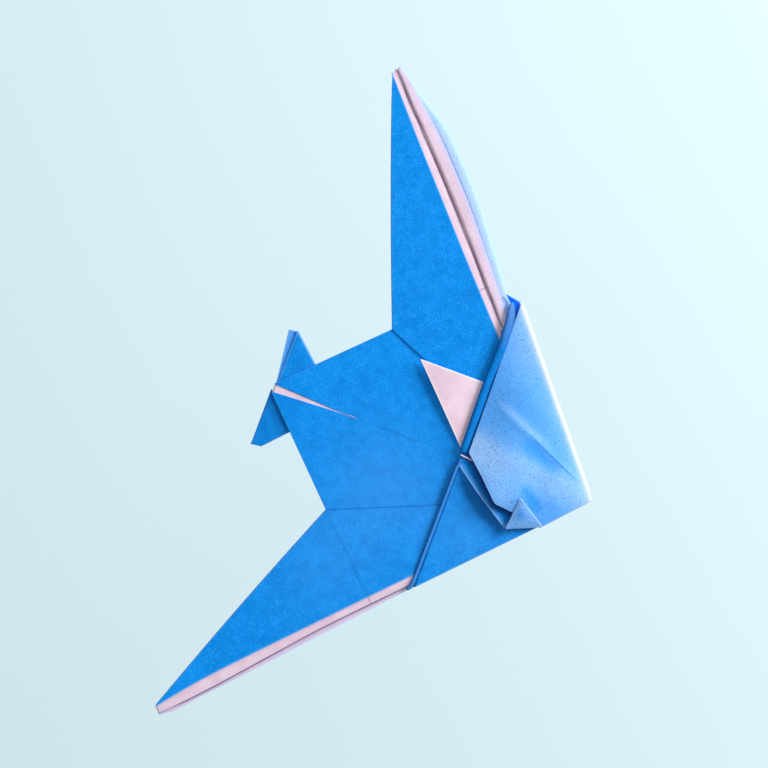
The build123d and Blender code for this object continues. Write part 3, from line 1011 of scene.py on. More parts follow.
    def layer(self, name: str, edge: Knots, above: Knots, rise: Knots, marks: LayerMarks) -> Sheet:
        """An inner layer with its plain face up, fanned out beyond the layer above it.

        Args:
            name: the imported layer's name.
            edge: the layer's leading edge.
            above: the leading edge of the layer above.
            rise: its height near the leading edge.
            marks: how strongly it is marked.

        Returns:
            The sheet.
        """
        end_x = self.plan.mouth + self.layer_tuck
        lead = self.leading(edge, end_x)
        shown = np.maximum(np.hypot(*(self.leading(above, end_x) - lead).T), 0.15)[:, None]
        inner = lead + (self.trailing((end_x, self.layer_end)) - lead) * self.layer_share
        lead_steps = (0, 0.08, 0.2, 0.4, 0.65, 0.95, 1.3, 1.7, 2.1, 2.6, 3.2, 4.0)
        plan_points, from_lead, _, _ = rulings(lead, inner, lead_steps, (0, 0.5), 12)
        height = smooth_curve(rise, from_lead / shown)
        nick = 0.6 * line_mark(plan_points, *self.nick(), self.nick_width)
        # Painted shade: a dark line where the layer comes out from under the layer above, and a lavender wash along
        # its leading edge.
        soil = marks.soil * np.clip(self.stations() / 0.12, 0, 1)[:, None]
        sharp = np.exp(-((from_lead - shown + 0.12) / 0.26) ** 2)
        soft = 0.3 * np.exp(-((from_lead - shown) / 0.6) ** 2)
        word = self.side.word
        return Sheet(
            f"wing_{name}_{word}", mirrored(with_height(plan_points, height), self.side), PLAIN_OUT,
            wear=marks.rubbed * edge_wear(from_lead, 0.25),
            crease=np.clip(nick + soil * (sharp + soft), 0, 1),
            bleach=marks.tint * np.exp(-from_lead / 0.7),
            replaced=(f"wing_{name}_{word}", f"wing_root_{name}_{word}"), slot="plain_side")

    def nick(self) -> tuple[Point, Point]:
        """The two ends of the short line of painted shade where the crease crosses the fanned layers."""
        ends = self.plan.lead_at(np.full(2, self.crease_share), np.array([2.4, 1.0]))
        return tuple(ends[0]), tuple(ends[1])

    def underskin(self) -> Sheet:
        """The lowest layer, blue face down; where it is rolled, its leading edge turns up and back.

        The roll is half an ellipse, as wide as the strip that shows needs.

        Returns:
            The sheet.
        """
        end_x = self.under_end[0]
        rim = self.leading(self.rim, end_x)
        inner = self.trailing(self.under_end)
        shown = np.maximum(np.hypot(*(rim - self.leading(self.lining_edge, end_x)).T), 0.1)
        half = 0.3 + 0.62 * shown if self.rolled else np.full(len(rim), 0.02)
        span = rim - inner
        width = np.maximum(np.hypot(*span.T), 0.3)
        unit = span / width[:, None]
        turn = inner + unit * np.maximum(width - half, 0.15)[:, None]
        plan_points, _, _, _ = rulings(inner, turn, (0, 0.3), (0, 0.3), 16)
        points = with_height(plan_points, np.zeros(plan_points.shape[:2]))
        wear = np.zeros(points.shape[:2])
        word = self.side.word
        replaced = (f"wing_under_{word}", f"wing_root_under_{word}")
        # Rubbing with a painted highlight round the rolled lip, brightest near its outer rim.
        roll_rubbed_and_lit = (0, 0, 0.1, 0.3, 0.6, 0.9, 0.75, 0.4, 0.15, 0, 0, 0, 0.3)
        if self.rolled:
            top = np.interp(
                self.stations(), [0, 0.12, 0.3, 1.0, 1.6, 2.0], [0.8, 0.94, 0.98, 0.98, 0.98, 0.95])
            roll = fold_round(turn, unit, np.zeros(len(turn)), top, half, 12)
            points = beside(points, tucked(roll, unit, self.roll_turn))
            wear = beside(wear, roll_rubbed_and_lit)
            replaced += (f"wing_lip_{word}", f"wing_root_lip_{word}")
        # Painted sheen: the lip grows paler the higher it rises.
        return Sheet(
            f"wing_underskin_{word}", mirrored(points, self.side), BLUE_OUT, facing=Facing.DOWN,
            wear=wear, bleach=np.clip((points[..., 2] - 0.3) / 0.4, 0, 1), replaced=replaced, waviness=0.03)

    def build(self) -> None:
        """Makes the wing's four layers and lets each bend at the crease."""
        sheets = (
            self.skin(),
            self.layer("pleat", self.pleat_edge, self.skin_edge, self.pleat_rise, PLEAT_MARKS),
            self.layer("lining", self.lining_edge, self.pleat_edge, self.lining_rise, LINING_MARKS),
            self.underskin(),
        )
        for sheet in sheets:
            self.hinge(sheet.build(self.plan))


def port_wing(plan: Plan) -> Wing:
    """The port wing, whose leading edge is rolled and bulges outwards.

    Args:
        plan: the shared places.

    Returns:
        The wing, with its sizes.
    """
    return Wing(
        plan=plan,
        side=Side.PORT,
        skin_edge=((0.012, 0.2), (0.07, 0.52), (0.185, 1.14), (0.281, 1.57), (0.409, 2.15), (0.5, 2.5),
                   (0.66, 3.05)),
        pleat_edge=((0.006, -1.0), (0.06, -0.62), (0.169, -0.4), (0.25, -0.17), (0.387, 0.36), (0.5, 1.05),
                    (0.6, 1.2)),
        lining_edge=((0.006, -1.9), (0.03, -2.45), (0.1, -3.05), (0.167, -3.5), (0.26, -3.4), (0.333, -3.1),
                     (0.419, -2.3), (0.502, -1.45), (0.57, -0.55)),
        rim=((0.006, -2.1), (0.03, -2.75), (0.07, -3.4), (0.117, -4.65), (0.17, -5.6), (0.24, -5.75),
             (0.34, -5.25), (0.42, -4.2), (0.51, -3.0), (0.57, -2.1)),
        pleat_rise=((0, 0.68), (0.25, 0.84), (0.6, 0.92), (1.0, 0.95), (1.4, 0.92), (2.6, 0.62)),
        lining_rise=((0, 1.13), (0.3, 1.18), (0.7, 1.18), (0.88, 1.1), (0.95, 0.84), (1.02, 0.6), (1.6, 0.4)),
        rolled=True,
        under_end=(43.4, 30.95),
        crease_mark=0.12,
        seam_mark=0.2)


def starboard_wing(plan: Plan) -> Wing:
    """The starboard wing, pressed flat, its layers fanned by less.

    Args:
        plan: the shared places.

    Returns:
        The wing, with its sizes.
    """
    return Wing(
        plan=plan,
        side=Side.STARBOARD,
        skin_edge=((0.002, 0.2), (0.062, 0.88), (0.15, 1.45), (0.254, 1.73), (0.342, 1.88), (0.66, 2.4)),
        pleat_edge=((0.002, -1.3), (0.038, -1.3), (0.129, -1.05), (0.196, -0.65), (0.268, -0.2), (0.34, 0.25),
                    (0.6, 0.8)),
        lining_edge=((0.002, -1.7), (0.015, -2.05), (0.103, -1.95), (0.217, -1.6), (0.33, -1.1), (0.6, -0.1)),
        rim=((0.002, -1.4), (0.03, -1.75), (0.103, -1.65), (0.217, -1.3), (0.33, -0.8), (0.6, 0.2)),
        pleat_rise=((0, 0.8), (0.15, 0.9), (0.6, 0.95), (1.0, 0.97), (1.4, 0.94), (2.6, 0.62)),
        lining_rise=((0, 0.34), (1.0, 0.36), (2.0, 0.36)),
        rolled=False,
        under_end=(41.0, 29.75),
        crease_mark=0.3,
        seam_mark=0.5,
        tip_share=0.002,
        tip_trailing=(-0.1, 74.4),
        trailing_bow=0.35)


@dataclass
class Body:
    """The belly, the two back panels with the slit between them, and the layer in the slit.

    The slit gives its half width for the distance forward from the tail. The belly's half widths at
    the pocket's mouth and at the nose are for port and starboard.
    """

    plan: Plan
    slit: Knots = ((0.0, 0.9), (8.0, 0.5), (14.0, 0.2), (19.0, 0.06), (22.5, 0.0), (46.5, 0.0))
    tail_start: float = 0.95
    tuck: float = 2.6
    mouth_half: float = 29.4
    tuck_half: float = 26.6
    fold_bulge: float = 0.12
    slit_bulge: float = 0.05
    fold_drop: float = 0.2
    seam_start: float = 0.12
    seam_end: float = 31.0
    seam_half: float = 2.3
    seam_depth: float = 0.14
    belly_start: Point = (0.15, 0.6)
    belly_nose_gap: float = 0.7
    belly_mouth: Point = (30.7, 30.5)
    belly_nose: Point = (0.9, -0.25)
    crease_width: float = 0.25

    def back(self, side: Side) -> Sheet:
        """A back panel, ruled sideways from the slit to the tail edge and the wing's fold.

        Args:
            side: the side it lies on.

        Returns:
            The sheet, worked out for port and mirrored.
        """
        plan = self.plan
        end = plan.mouth + self.tuck
        close = plan.notch[0] + np.array([-0.2, -0.05, 0.05, 0.2])
        x = np.unique(np.concatenate([np.linspace(0.0, end, 130), close]))
        inner = np.stack([x, smooth_curve(self.slit, x)], -1)
        edge = [(0, self.tail_start), plan.notch, (plan.mouth, self.mouth_half), (end, self.tuck_half)]
        outer = track([point[0] for point in edge], edge, x)
        plan_points, _, from_edge, unit = rulings(inner, outer, FINE_STEPS, FINE_STEPS, 56)
        height = np.full(plan_points.shape[:2], plan.level)
        level = height[:, 0]
        openness = np.interp(x, [0, 14, 19], [1.0, 1.0, 0.0])
        fresh = np.zeros(5)
        slit_fold = fold_round(
            inner, -unit, level, level - self.fold_drop * openness, self.slit_bulge * openness, len(fresh))
        bulge = np.full(len(x), self.fold_bulge)
        tail_fold = fold_round(outer, unit, level, level - self.fold_drop, bulge, len(fresh))
        points = beside(slit_fold[:, ::-1], with_height(plan_points, height), tail_fold)
        sided = mirrored(points, side)
        return Sheet(
            f"back_panel_{side.word}", sided, BLUE_CREASED,
            wear=beside(fresh, 0.1 * edge_wear(from_edge, 0.25), fresh),
            # Painted shade along the closed slit.
            crease=0.1 * line_mark(points[..., :2], (22.0, 0.0), (34.0, 0.0), 0.16, fade=0.3),
            bleach=handled(sided), replaced=(f"back_{side.word}",))

    def seam(self) -> Sheet:
        """The level layer under the slit, plain face up, cut square at the tail.

        Returns:
            The sheet.
        """
        x = np.linspace(self.seam_start, self.seam_end, 60)
        half = np.minimum(0.84 + 0.8 * x, self.seam_half)
        starboard, port = (np.stack([x, edge], -1) for edge in (-half, half))
        plan_points, _, _, _ = rulings(starboard, port, (0, 0.1), (0, 0.1), 16)
        height = np.full(plan_points.shape[:2], self.plan.level - self.seam_depth)
        return Sheet(
            "seam_lining", with_height(plan_points, height), PLAIN_OUT,
            wear=0.6 * edge_wear(x, 0.4)[:, None], slot="plain_side", thickness=0.06)

    def belly(self) -> Sheet:
        """The level underside, blue face down, ruled sideways between its two edges.

        Returns:
            The sheet, with painted shade along the creases from the notches and along the middle.
        """
        plan = self.plan
        nose = plan.length - self.belly_nose_gap
        flap_outer = (plan.mouth + 0.3, joint_place("nose_flap_lift")[0][1] - 0.6)
        mouth = plan.mouth + np.array([-0.1, 0.0, 0.3, 0.31])
        x = np.unique(np.concatenate([np.linspace(self.belly_start[0], nose, 150), mouth, [plan.notch[0]]]))
        ends = [[(plan.mouth, self.belly_mouth[0]), flap_outer, (nose, self.belly_nose[0])],
                [(plan.mouth, self.belly_mouth[1]), (nose, self.belly_nose[1])]]
        edges = [[self.belly_start, plan.notch, *end] for end in ends]
        port, starboard = (track([point[0] for point in edge], edge, x) for edge in edges)
        starboard = starboard * np.array([1, -1])
        plan_points, from_starboard, from_port, _ = rulings(starboard, port, (0, 0.2, 0.5), (0, 0.2, 0.5), 70)
        lines = 0.35 * line_mark(plan_points, (0, 0), (plan.length, 0), self.crease_width)
        for side in Side:
            notch = (plan.notch[0], plan.notch[1] * side.value)
            for end_x in (plan.length, plan.mouth):
                crease = 0.25 * line_mark(plan_points, notch, (end_x, 0), self.crease_width)
                lines = np.maximum(lines, crease)
        from_edge = np.minimum(from_starboard, from_port)
        return Sheet(
            "belly_panel", with_height(plan_points, np.zeros(from_edge.shape)), BLUE_CREASED,
            facing=Facing.DOWN, wear=0.3 * edge_wear(from_edge, 0.3), crease=lines, replaced=("belly",),
            waviness=0.0)

    def build(self) -> None:
        """Makes the body's panels, all fixed."""
        for sheet in (self.back(Side.PORT), self.back(Side.STARBOARD), self.seam(), self.belly()):
            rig.ride(sheet.build(self.plan), ROOT)


@dataclass
class Fin:
    """A tail fin: a broad leaf over a narrow aft face, both coming out from under the tail edge.

    The leaf's heights are at the tip, the aft root and the forward root, the aft face's at the tip
    and the root. All are sizes of the port fin; the other is mirrored.
    """

    plan: Plan
    side: Side
    aft_root: Point
    forward_root: Point
    tip_forward: Point
    tip_fold: Point
    tip_aft: Point
    leaf_height: tuple[float, float, float]
    edge_height: tuple[float, float]
    crown: float
    rubbing: float
    shade: float
    tuck_in: float = 0.7
    leaf_drop: float = 0.2
    edge_drop: float = 0.16
    leaf_bulge: float = 0.1
    edge_bulge: float = 0.08
    edge_sag: float = 0.22
    edge_share: float = 0.12
    blend_reach: float = 0.35

    def inward(self) -> Array:
        """Works out which way is inwards from the tail edge.

        Returns:
            The unit plan direction across the edge, in under the back.
        """
        along = np.array(self.forward_root) - np.array(self.aft_root)
        along = along / np.hypot(*along)
        return np.array([along[1], -along[0]])

    def leaf(self) -> Sheet:
        """The broad face: rulings from the aft fold to the forward fold, from the tip to the root.

        Its height runs evenly between tip and root, with a crown that is a sine both ways.

        Returns:
            The sheet.
        """
        station = np.linspace(0, 1, 60)
        inner = self.inward() * self.tuck_in
        aft = track([0, 1], [self.tip_fold, np.array(self.aft_root) + inner], station)
        forward = track([0, 1], [self.tip_forward, np.array(self.forward_root) + inner], station)
        aft_steps, forward_steps = (0, 0.08, 0.2, 0.45), (0, 0.08, 0.2, 0.45, 0.8)
        plan_points, from_aft, from_forward, unit = rulings(aft, forward, aft_steps, forward_steps, 26)
        across = from_aft / np.maximum(from_aft + from_forward, 1e-6)
        tip, aft_root, forward_root = self.leaf_height
        root = aft_root + (forward_root - aft_root) * across
        along = station[:, None]
        crown = self.crown * np.sin(math.pi * across) * np.sin(math.pi * np.clip(along * 1.2, 0, 1))
        height = tip + (root - tip) * along + crown
        bulge = np.full(len(station), self.leaf_bulge)
        aft_rubbed, forward_rubbed_and_lit = (0.0, 0.0, 0.1, 0.25, 0.25), (0.8, 0.9, 0.8, 0.4, 0.0)
        start, end = height[:, 0], height[:, -1]
        aft_fold = fold_round(aft, -unit, start, start - self.leaf_drop, bulge, len(aft_rubbed))
        forward_fold = fold_round(forward, unit, end, end - self.leaf_drop, bulge, len(forward_rubbed_and_lit))
        points = beside(aft_fold[:, ::-1], with_height(plan_points, height), forward_fold)
        # Rubbing with a painted highlight along the forward rim.
        rubbed = 0.25 * edge_wear(from_aft, 0.5) + 0.8 * edge_wear(from_forward, 0.45)
        wear = beside(aft_rubbed, rubbed, forward_rubbed_and_lit)
        name = f"fin_leaf_{self.side.word}"
        # Painted shade over the leaf, darkest near the root where the back panel shades it.
        return Sheet(
            name, mirrored(points, self.side), BLUE_CREASED, wear=wear * self.rubbing,
            crease=self.shade * (np.exp(-(1 - station) * 6.0)[:, None] + 0.5),
            replaced=(name,), waviness=0.0)

    def edge(self) -> Sheet:
        """The narrow aft face, a lower layer that widens from the root to the tip.

        It sags by the square of the distance from its aft edge.

        Returns:
            The sheet.
        """
        station = np.linspace(0, 1, 50)
        inner = self.inward() * self.tuck_in
        root = np.array(self.aft_root)
        aft = track([0, 1], [self.tip_aft, root + inner * 0.6], station)
        under_tip = np.array(self.tip_forward) + np.array([0.15, -0.2])
        under_root = root + inner + (np.array(self.forward_root) - root) * self.edge_share
        hidden = track([0, 1], [under_tip, under_root], station)
        plan_points, from_aft, _, unit = rulings(aft, hidden, (0, 0.08, 0.2, 0.4), (0, 0.3), 14)
        tip, low = self.edge_height
        along = station[:, None]
        share = from_aft / np.maximum(from_aft[:, -1:], 1e-6)
        height = tip + (low - tip) * along - self.edge_sag * share**2 * (1 - 0.6 * along)
        bulge = np.full(len(station), self.edge_bulge)
        fold_rubbed = (0.0, 0.2, 0.5, 0.6, 0.5)
        fresh = np.zeros(len(fold_rubbed))
        fold = fold_round(aft, -unit, height[:, 0], height[:, 0] - self.edge_drop, bulge, len(fresh))
        points = beside(fold[:, ::-1], with_height(plan_points, height))
        wear = beside(fold_rubbed, 0.4 * edge_wear(from_aft, 0.4))
        # Painted reflection: paler towards the aft edge near the tip. Painted shadow of the leaf along the face's far
        # margin.
        bleach = beside(fresh, 0.3 * (1 - share) * (1 - along))
        name = f"fin_edge_{self.side.word}"
        return Sheet(
            name, mirrored(points, self.side), BLUE_CREASED, wear=wear * self.rubbing,
            bleach=bleach * self.rubbing,
            crease=beside(fresh, 0.6 * self.rubbing * share**6) + 0.4 * self.shade,
            replaced=(name,), waviness=0.0)

    def build(self) -> None:
        """Makes both faces and lets them bend at the tail edge."""
        place, axis = joint_place(f"fin_{self.side.word}_bend")
        outward = np.array([-abs(axis[1]), abs(axis[0]) * self.side.value, 0.0])
        start = self.plan.row(place - self.blend_reach * outward)
        end = self.plan.row(place + self.blend_reach * outward)
        for sheet in (self.leaf(), self.edge()):
            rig.blend(sheet.build(self.plan), ROOT, f"fin_{self.side.word}", start=start, end=end)


def port_fin(plan: Plan) -> Fin:
    """The port fin, nearly level.

    Args:
        plan: the shared places.

    Returns:
        The fin, with its sizes.
    """
    return Fin(
        plan=plan,
        side=Side.PORT,
        aft_root=(0.1, 1.2),
        forward_root=(7.0, 8.1),
        tip_forward=(0.95, 13.6),
        tip_fold=(0.7, 13.7),
        tip_aft=(-1.1, 13.3),
        leaf_height=(0.72, 0.46, 0.46),
        edge_height=(0.5, 0.34),
        crown=0.12,
        rubbing=1.0,
        shade=0.1)


def starboard_fin(plan: Plan) -> Fin:
    """The starboard fin, bent slightly down.

    Args:
        plan: the shared places.

    Returns:
        The fin, with its sizes.
    """
    return Fin(
        plan=plan,
        side=Side.STARBOARD,
        aft_root=(-1.0, 1.3),
        forward_root=(6.5, 8.1),
        tip_forward=(1.9, 13.0),
        tip_fold=(-0.3, 13.3),
        tip_aft=(-0.25, 13.15),
        leaf_height=(0.2, 0.42, 0.4),
        edge_height=(0.1, 0.3),
        crown=0.0,
        rubbing=0.1,
        shade=0.45,
        tuck_in=1.9)


@dataclass
class LockTab:
    """The right-angled tab on the port back, plain face up, that tucks in under the pocket's roll."""

    plan: Plan
    point: Point = (28.2, 17.1)
    inner_corner: Point = (43.3, 1.8)
    end_x: float = 44.6
    height: float = 1.42
    lift: float = 0.6
    blend_reach: float = 0.4

    def sheet(self) -> Sheet:
        """Rulings sideways from the long slanting edge to the square one.

        Its height rises from the hinge towards the point as 1 - (1 - reach) squared.

        Returns:
            The sheet.
        """
        close = np.linspace(42.0, 43.2, 9)
        x = np.unique(np.concatenate([np.linspace(self.point[0], self.end_x, 90), close]))
        end = (self.end_x, self.inner_corner[1] + 0.8)
        slant = track([self.point[0], self.inner_corner[0], end[0]], [self.point, self.inner_corner, end], x)
        square = np.stack([x, np.full(len(x), self.point[1] + 0.03)], -1)
        plan_points, from_slant, from_square, _ = rulings(slant, square, FINE_STEPS, FINE_STEPS, 36)
        hinge = joint_place("lock_tab_lift")[0][0]
        reach = np.clip((hinge - plan_points[..., 0]) / (hinge - self.point[0]), 0, 1)
        height = self.height + self.lift * (1 - (1 - reach) ** 2)
        return Sheet(
            "lock_tab_sheet", with_height(plan_points, height), PLAIN_OUT,
            wear=edge_wear(np.minimum(from_slant, from_square), 0.35),
            replaced=("lock_tab",), slot="plain_side")

    def build(self) -> None:
        """Makes the tab and lets it bend at its hinge."""
        row = self.plan.row
        hinge = joint_place("lock_tab_lift")[0]
        reach = np.array([self.blend_reach, 0, 0])
        piece = self.sheet().build(self.plan)
        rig.blend(piece, ROOT, "lock_tab", start=row(hinge + reach), end=row(hinge - reach))


@dataclass
class Nose:
    """The nose pocket: its rolled and pressed mouths, covers, raised flap and folded corner.

    Pins give a sheet's height at plan points, as (x, y, height). The hem's and the roll's paths
    are centrelines in space, and their stations are shares of the way outwards.
    """

    plan: Plan
    outer: Point = (44.7, 36.1)
    tip: Point = (74.2, 0.75)
    inner: Point = (45.2, 1.5)
    corner_aft: Point = (58.5, -11.3)
    corner_forward: Point = (66.0, -8.15)
    corner_apex: Point = (59.3, -3.9)
    corner_gap: float = 0.42
    corner_bow: float = 0.22
    corner_bulge: float = 0.16
    mouth_edge: Sequence[Point] = (
        (45.2, 1.5), (49.6, -2.4), (53.6, -6.4), (54.5, -7.05), (58.8, -7.5), (58.7, -11.2))
    mouth_stations: Sequence[float] = (0.0, 0.3, 0.58, 0.64, 0.84, 1.0)
    flap_width: float = 30.0
    fold_radius: float = 0.6
    fold_turn: float = 0.6
    flap_pins: Sequence[Pin] = (
        (44.7, 36.1, 2.0), (52.0, 27.3, 2.0), (59.4, 18.5, 2.0), (66.8, 9.6, 1.95), (74.2, 0.75, 1.15),
        (45.0, 30.0, 2.15), (45.0, 22.0, 2.3), (45.1, 12.0, 2.4), (45.2, 1.5, 2.75),
        (49.6, -2.4, 3.8), (53.6, -6.4, 4.4), (56.5, -7.2, 3.9), (58.8, -7.5, 3.4),
        (58.5, -11.3, 2.6), (62.2, -9.6, 2.6), (66.0, -8.15, 2.3), (70.3, -3.4, 1.75),
        (51.0, 18.0, 3.1), (52.0, 9.0, 3.6), (58.0, 9.5, 3.35), (54.0, 1.0, 4.1), (61.5, 0.5, 3.5),
        (66.0, 3.2, 3.0), (59.3, -3.9, 4.1))
    sheet_pins: Sequence[Pin] = (
        (44.2, -1.9, 2.15), (49.8, -6.0, 3.1), (53.4, -8.3, 3.3), (58.0, -11.3, 2.2), (46.0, 1.0, 2.0),
        (50.0, -1.0, 2.2), (55.0, -4.0, 2.2), (62.0, -7.0, 1.9), (72.0, 0.0, 1.0), (47.0, 20.0, 1.6),
        (46.0, 33.0, 1.6), (60.0, 14.0, 1.6), (58.0, 3.0, 1.8))
    cover_pins: Sequence[Pin] = (
        (43.9, -1.0, 1.7), (44.3, -15.0, 1.6), (44.6, -29.8, 1.3), (54.0, -20.6, 1.3), (63.0, -11.3, 1.35),
        (73.0, -0.8, 0.75), (52.0, -8.0, 1.4), (50.0, -16.0, 1.45), (60.0, -6.0, 1.3))
    cover_tuck: float = 0.7
    cover_nose_gap: float = 1.2
    cover_bulge: float = 0.2
    cover_turn: float = 0.5
    hem_stations: Sequence[float] = (0.0, 0.06, 0.93, 0.975, 1.0)
    hem_path: Sequence[Pin] = (
        (44.2, -0.5, 2.1), (43.95, -2.6, 1.86), (43.7, -29.4, 1.34), (43.35, -30.9, 1.3), (42.75, -31.4, 1.2))
    roll_stations: Sequence[float] = (0.0, 0.44, 0.8, 0.93, 1.0)
    roll_path: Sequence[Pin] = (
        (44.15, 1.1, 1.98), (43.9, 16.8, 1.98), (44.0, 28.5, 1.98), (43.5, 33.2, 1.92), (42.85, 35.7, 1.7))
    rolled_paper: float = 0.08
    sliver_height: float = 2.5
    sliver_half: float = 0.14

    def flap_height(self, plan_points: Array) -> Array:
        """The flap's height: a springy sheet through its pins, with a crease and soft ridges.

        Args:
            plan_points: places on the flap, any shape ending in 2.

        Returns:
            The height at each place.
        """
        ridges = (
            ((46.7, 13.8), (71.0, 3.2), 0.16, 0.9),
            ((49.0, 3.4), (71.5, 2.2), 0.2, 2.2),
            ((57.0, -1.5), (66.0, -6.4), -0.12, 1.6),
            ((50.0, 20.0), (62.0, 12.0), 0.08, 2.4),
            ((62.0, 1.5), (69.0, -4.0), 0.1, 1.3),
            ((47.0, 27.0), (55.0, 20.0), -0.06, 2.0),
        )
        height = thin_plate(self.flap_pins, plan_points)
        for start, end, rise, width in ridges:
            height = height + rise * line_mark(plan_points, start, end, width, fade=0.25)
        return height

    def flap_grid(self, count: int) -> tuple[Array, Array, Array]:
        """Plan points of the flap, blended from its four edges.

        The blend adds the surfaces ruled between opposite edges and takes away the one ruled
        between the four corners.

        Args:
            count: even steps each way.

        Returns:
            The points, the parameter from outer end to tip, and the one from fold to free edge.
        """
        u = np.linspace(0, 1, count)
        near = np.array([0, 0.003, 0.008, 0.016, 0.03])
        v = np.unique(np.concatenate([near, 1 - near, np.linspace(0, 1, count)]))
        fold = track([0, 1], [self.outer, self.tip], u)
        mouth = track(self.mouth_stations, self.mouth_edge, u)
        pocket = track([0, 1], [self.outer, self.inner], v)
        free = track([0, 0.62, 1], [self.tip, self.corner_forward, self.mouth_edge[-1]], v)
        s, t = u[:, None, None], v[None, :, None]
        across = (1 - t) * fold[:, None] + t * mouth[:, None]
        along = (1 - s) * pocket[None] + s * free[None]
        corners = ((1 - s) * (1 - t) * fold[0] + s * (1 - t) * fold[-1]
                   + s * t * free[-1] + (1 - s) * t * pocket[-1])
        return across + along - corners, u, v

    def flap_tone(self, plan_points: Array, away: Array) -> Array:
        """The flap's painted sheen: lighter bands along its crumples and its leading edge, and two darker bands of
        painted shade.

        Args:
            plan_points: places on the flap.
            away: their distances from the leading fold.

        Returns:
            The bleaching, 0 to 1.
        """
        bands = (
            ((46.5, 3.0), (55.5, -5.0), 3.2, 0.0, 0.45),
            ((45.0, 3.5), (72.0, 1.0), 3.6, 0.0, 0.6),
            ((47.0, 14.6), (62.0, 8.4), 0.9, 0.2, 0.4),
            ((45.0, 34.0), (50.0, 27.0), 5.0, 0.0, 0.3),
            ((55.0, 8.0), (66.0, 3.6), 1.6, 0.2, -0.35),
            ((58.5, -1.0), (64.6, -5.6), 1.2, 0.2, -0.3),
        )
        tone = 0.15 + 0.4 * np.exp(-away / 2.2)
        for start, end, width, fade, strength in bands:
            tone = tone + strength * line_mark(plan_points, start, end, width, fade=fade)
        return np.clip(tone, 0, 1)

    def flap(self) -> Sheet:
        """The raised flap with its rounded leading edge, half an ellipse down to the belly.

        Returns:
            The sheet.
        """
        plan_points, u, v = self.flap_grid(110)
        line = np.array(self.tip) - np.array(self.outer)
        outward = np.array([-line[1], line[0]]) / np.hypot(*line)
        outward = np.broadcast_to(outward * np.sign(outward[0]), (len(u), 2))
        away = (np.array(self.outer) - plan_points) @ outward[0]
        height = self.flap_height(plan_points) - 0.2 * np.exp(-away / 0.9)
        bulge = np.interp(u, [0, 0.04, 0.92, 1.0], [0.5, self.fold_radius, self.fold_radius, 0.2])
        fold_rubbed = np.concatenate([np.zeros(5), np.linspace(0.2, 0.65, 8)])
        belly = np.zeros(len(u))
        fold = fold_round(plan_points[:, 0], outward, height[:, 0], belly, bulge, len(fold_rubbed) - 1)
        fold = tucked(fold, outward, self.fold_turn)
        points = beside(fold[:, ::-1], with_height(plan_points, height))
        # Rubbing, with a painted highlight along the rounded leading edge.
        mouth = edge_wear((1 - v)[None, :] * self.flap_width, 0.3)
        free = edge_wear((1 - u)[:, None] * self.flap_width, 0.25)
        rubbed = 0.75 * np.minimum(1, np.exp(-away / 0.4)) + 0.35 * np.maximum(mouth, free)
        # Painted sheen on the rounded fold and over the flap, and painted shade along its crease.
        return Sheet(
            "nose_flap_sheet", points, SHEEN_OUT,
            wear=beside(fold_rubbed, np.clip(rubbed, 0, 1)),
            bleach=beside(np.full(len(fold_rubbed), 0.5), self.flap_tone(plan_points, away)),
            crease=0.9 * line_mark(points[..., :2], (54.5, 10.5), (70.8, 3.3), 0.16, fade=0.25),
            replaced=("nose_flap", "nose_fold_port"), waviness=0.02)

    def corner_base(self) -> float:
        """The mean height of the two ends of the line that the corner folds on."""
        return float(self.flap_height(np.array([self.corner_aft, self.corner_forward])).mean())

    def corner(self) -> Sheet:
        """The flap's corner folded back over it: rulings from the fold line towards the point.

        Its height runs evenly from the fold to the point, with a bow that is a sine both ways.

        Returns:
            The sheet.
        """
        station = np.linspace(0, 1, 40)
        fold = track([0, 1], [self.corner_aft, self.corner_forward], station)
        apex = np.array(self.corner_apex)
        point = track([0, 0.48, 1], [apex - (0.02, 0.05), apex, apex + (0.06, -0.04)], station)
        plan_points, from_fold, from_apex, unit = rulings(fold, point, FINE_STEPS, (0, 0.1, 0.3), 30)
        base = self.flap_height(fold).mean()
        start = base + self.corner_gap
        top = float(self.flap_height(apex[None])[0]) + 0.38
        share = from_fold / np.maximum(from_fold + from_apex, 1e-6)
        bow = self.corner_bow * np.sin(math.pi * share) * np.sin(math.pi * station)[:, None]
        height = start + (top - start) * share + bow
        bulge = np.full(len(station), self.corner_bulge)
        turn_rubbed = np.linspace(0, 0.5, 8)
        turn = fold_round(fold, -unit, height[:, 0], np.full(len(station), base), bulge, len(turn_rubbed))
        sides = np.minimum(station, 1 - station)[:, None] * np.maximum(from_apex, 0.05)
        # Painted sheen over the corner, with a spot of painted shade near its middle.
        dark = 0.4 * soft_round(plan_points, (60.5, -7.4), math.sqrt(1.2))
        return Sheet(
            "nose_corner_sheet", beside(turn[:, ::-1], with_height(plan_points, height)), SHEEN_OUT,
            wear=beside(turn_rubbed, 0.9 * edge_wear(sides, 0.16)),
            bleach=beside(np.full(len(turn_rubbed), 0.5), np.clip(0.55 - dark, 0, 1)),
            replaced=("nose_corner",), waviness=0.0)

    def lower_sheet(self) -> Sheet:
        """The springy sheet under the flap, whose free edge stands up over the starboard cover.

        Returns:
            The sheet.
        """
        station = np.linspace(0, 1, 90)
        free_edge = [(44.2, -1.9), (49.8, -6.0), (53.4, -8.3), (58.2, -11.35)]
        free = track([0, 0.42, 0.68, 1.0], free_edge, station)
        hidden = track([0, 1], [(45.6, 34.6), (72.0, 0.6)], station)
        plan_points, from_free, _, _ = rulings(free, hidden, (0, 0.1, 0.25, 0.5, 0.9), (0, 0.5), 50)
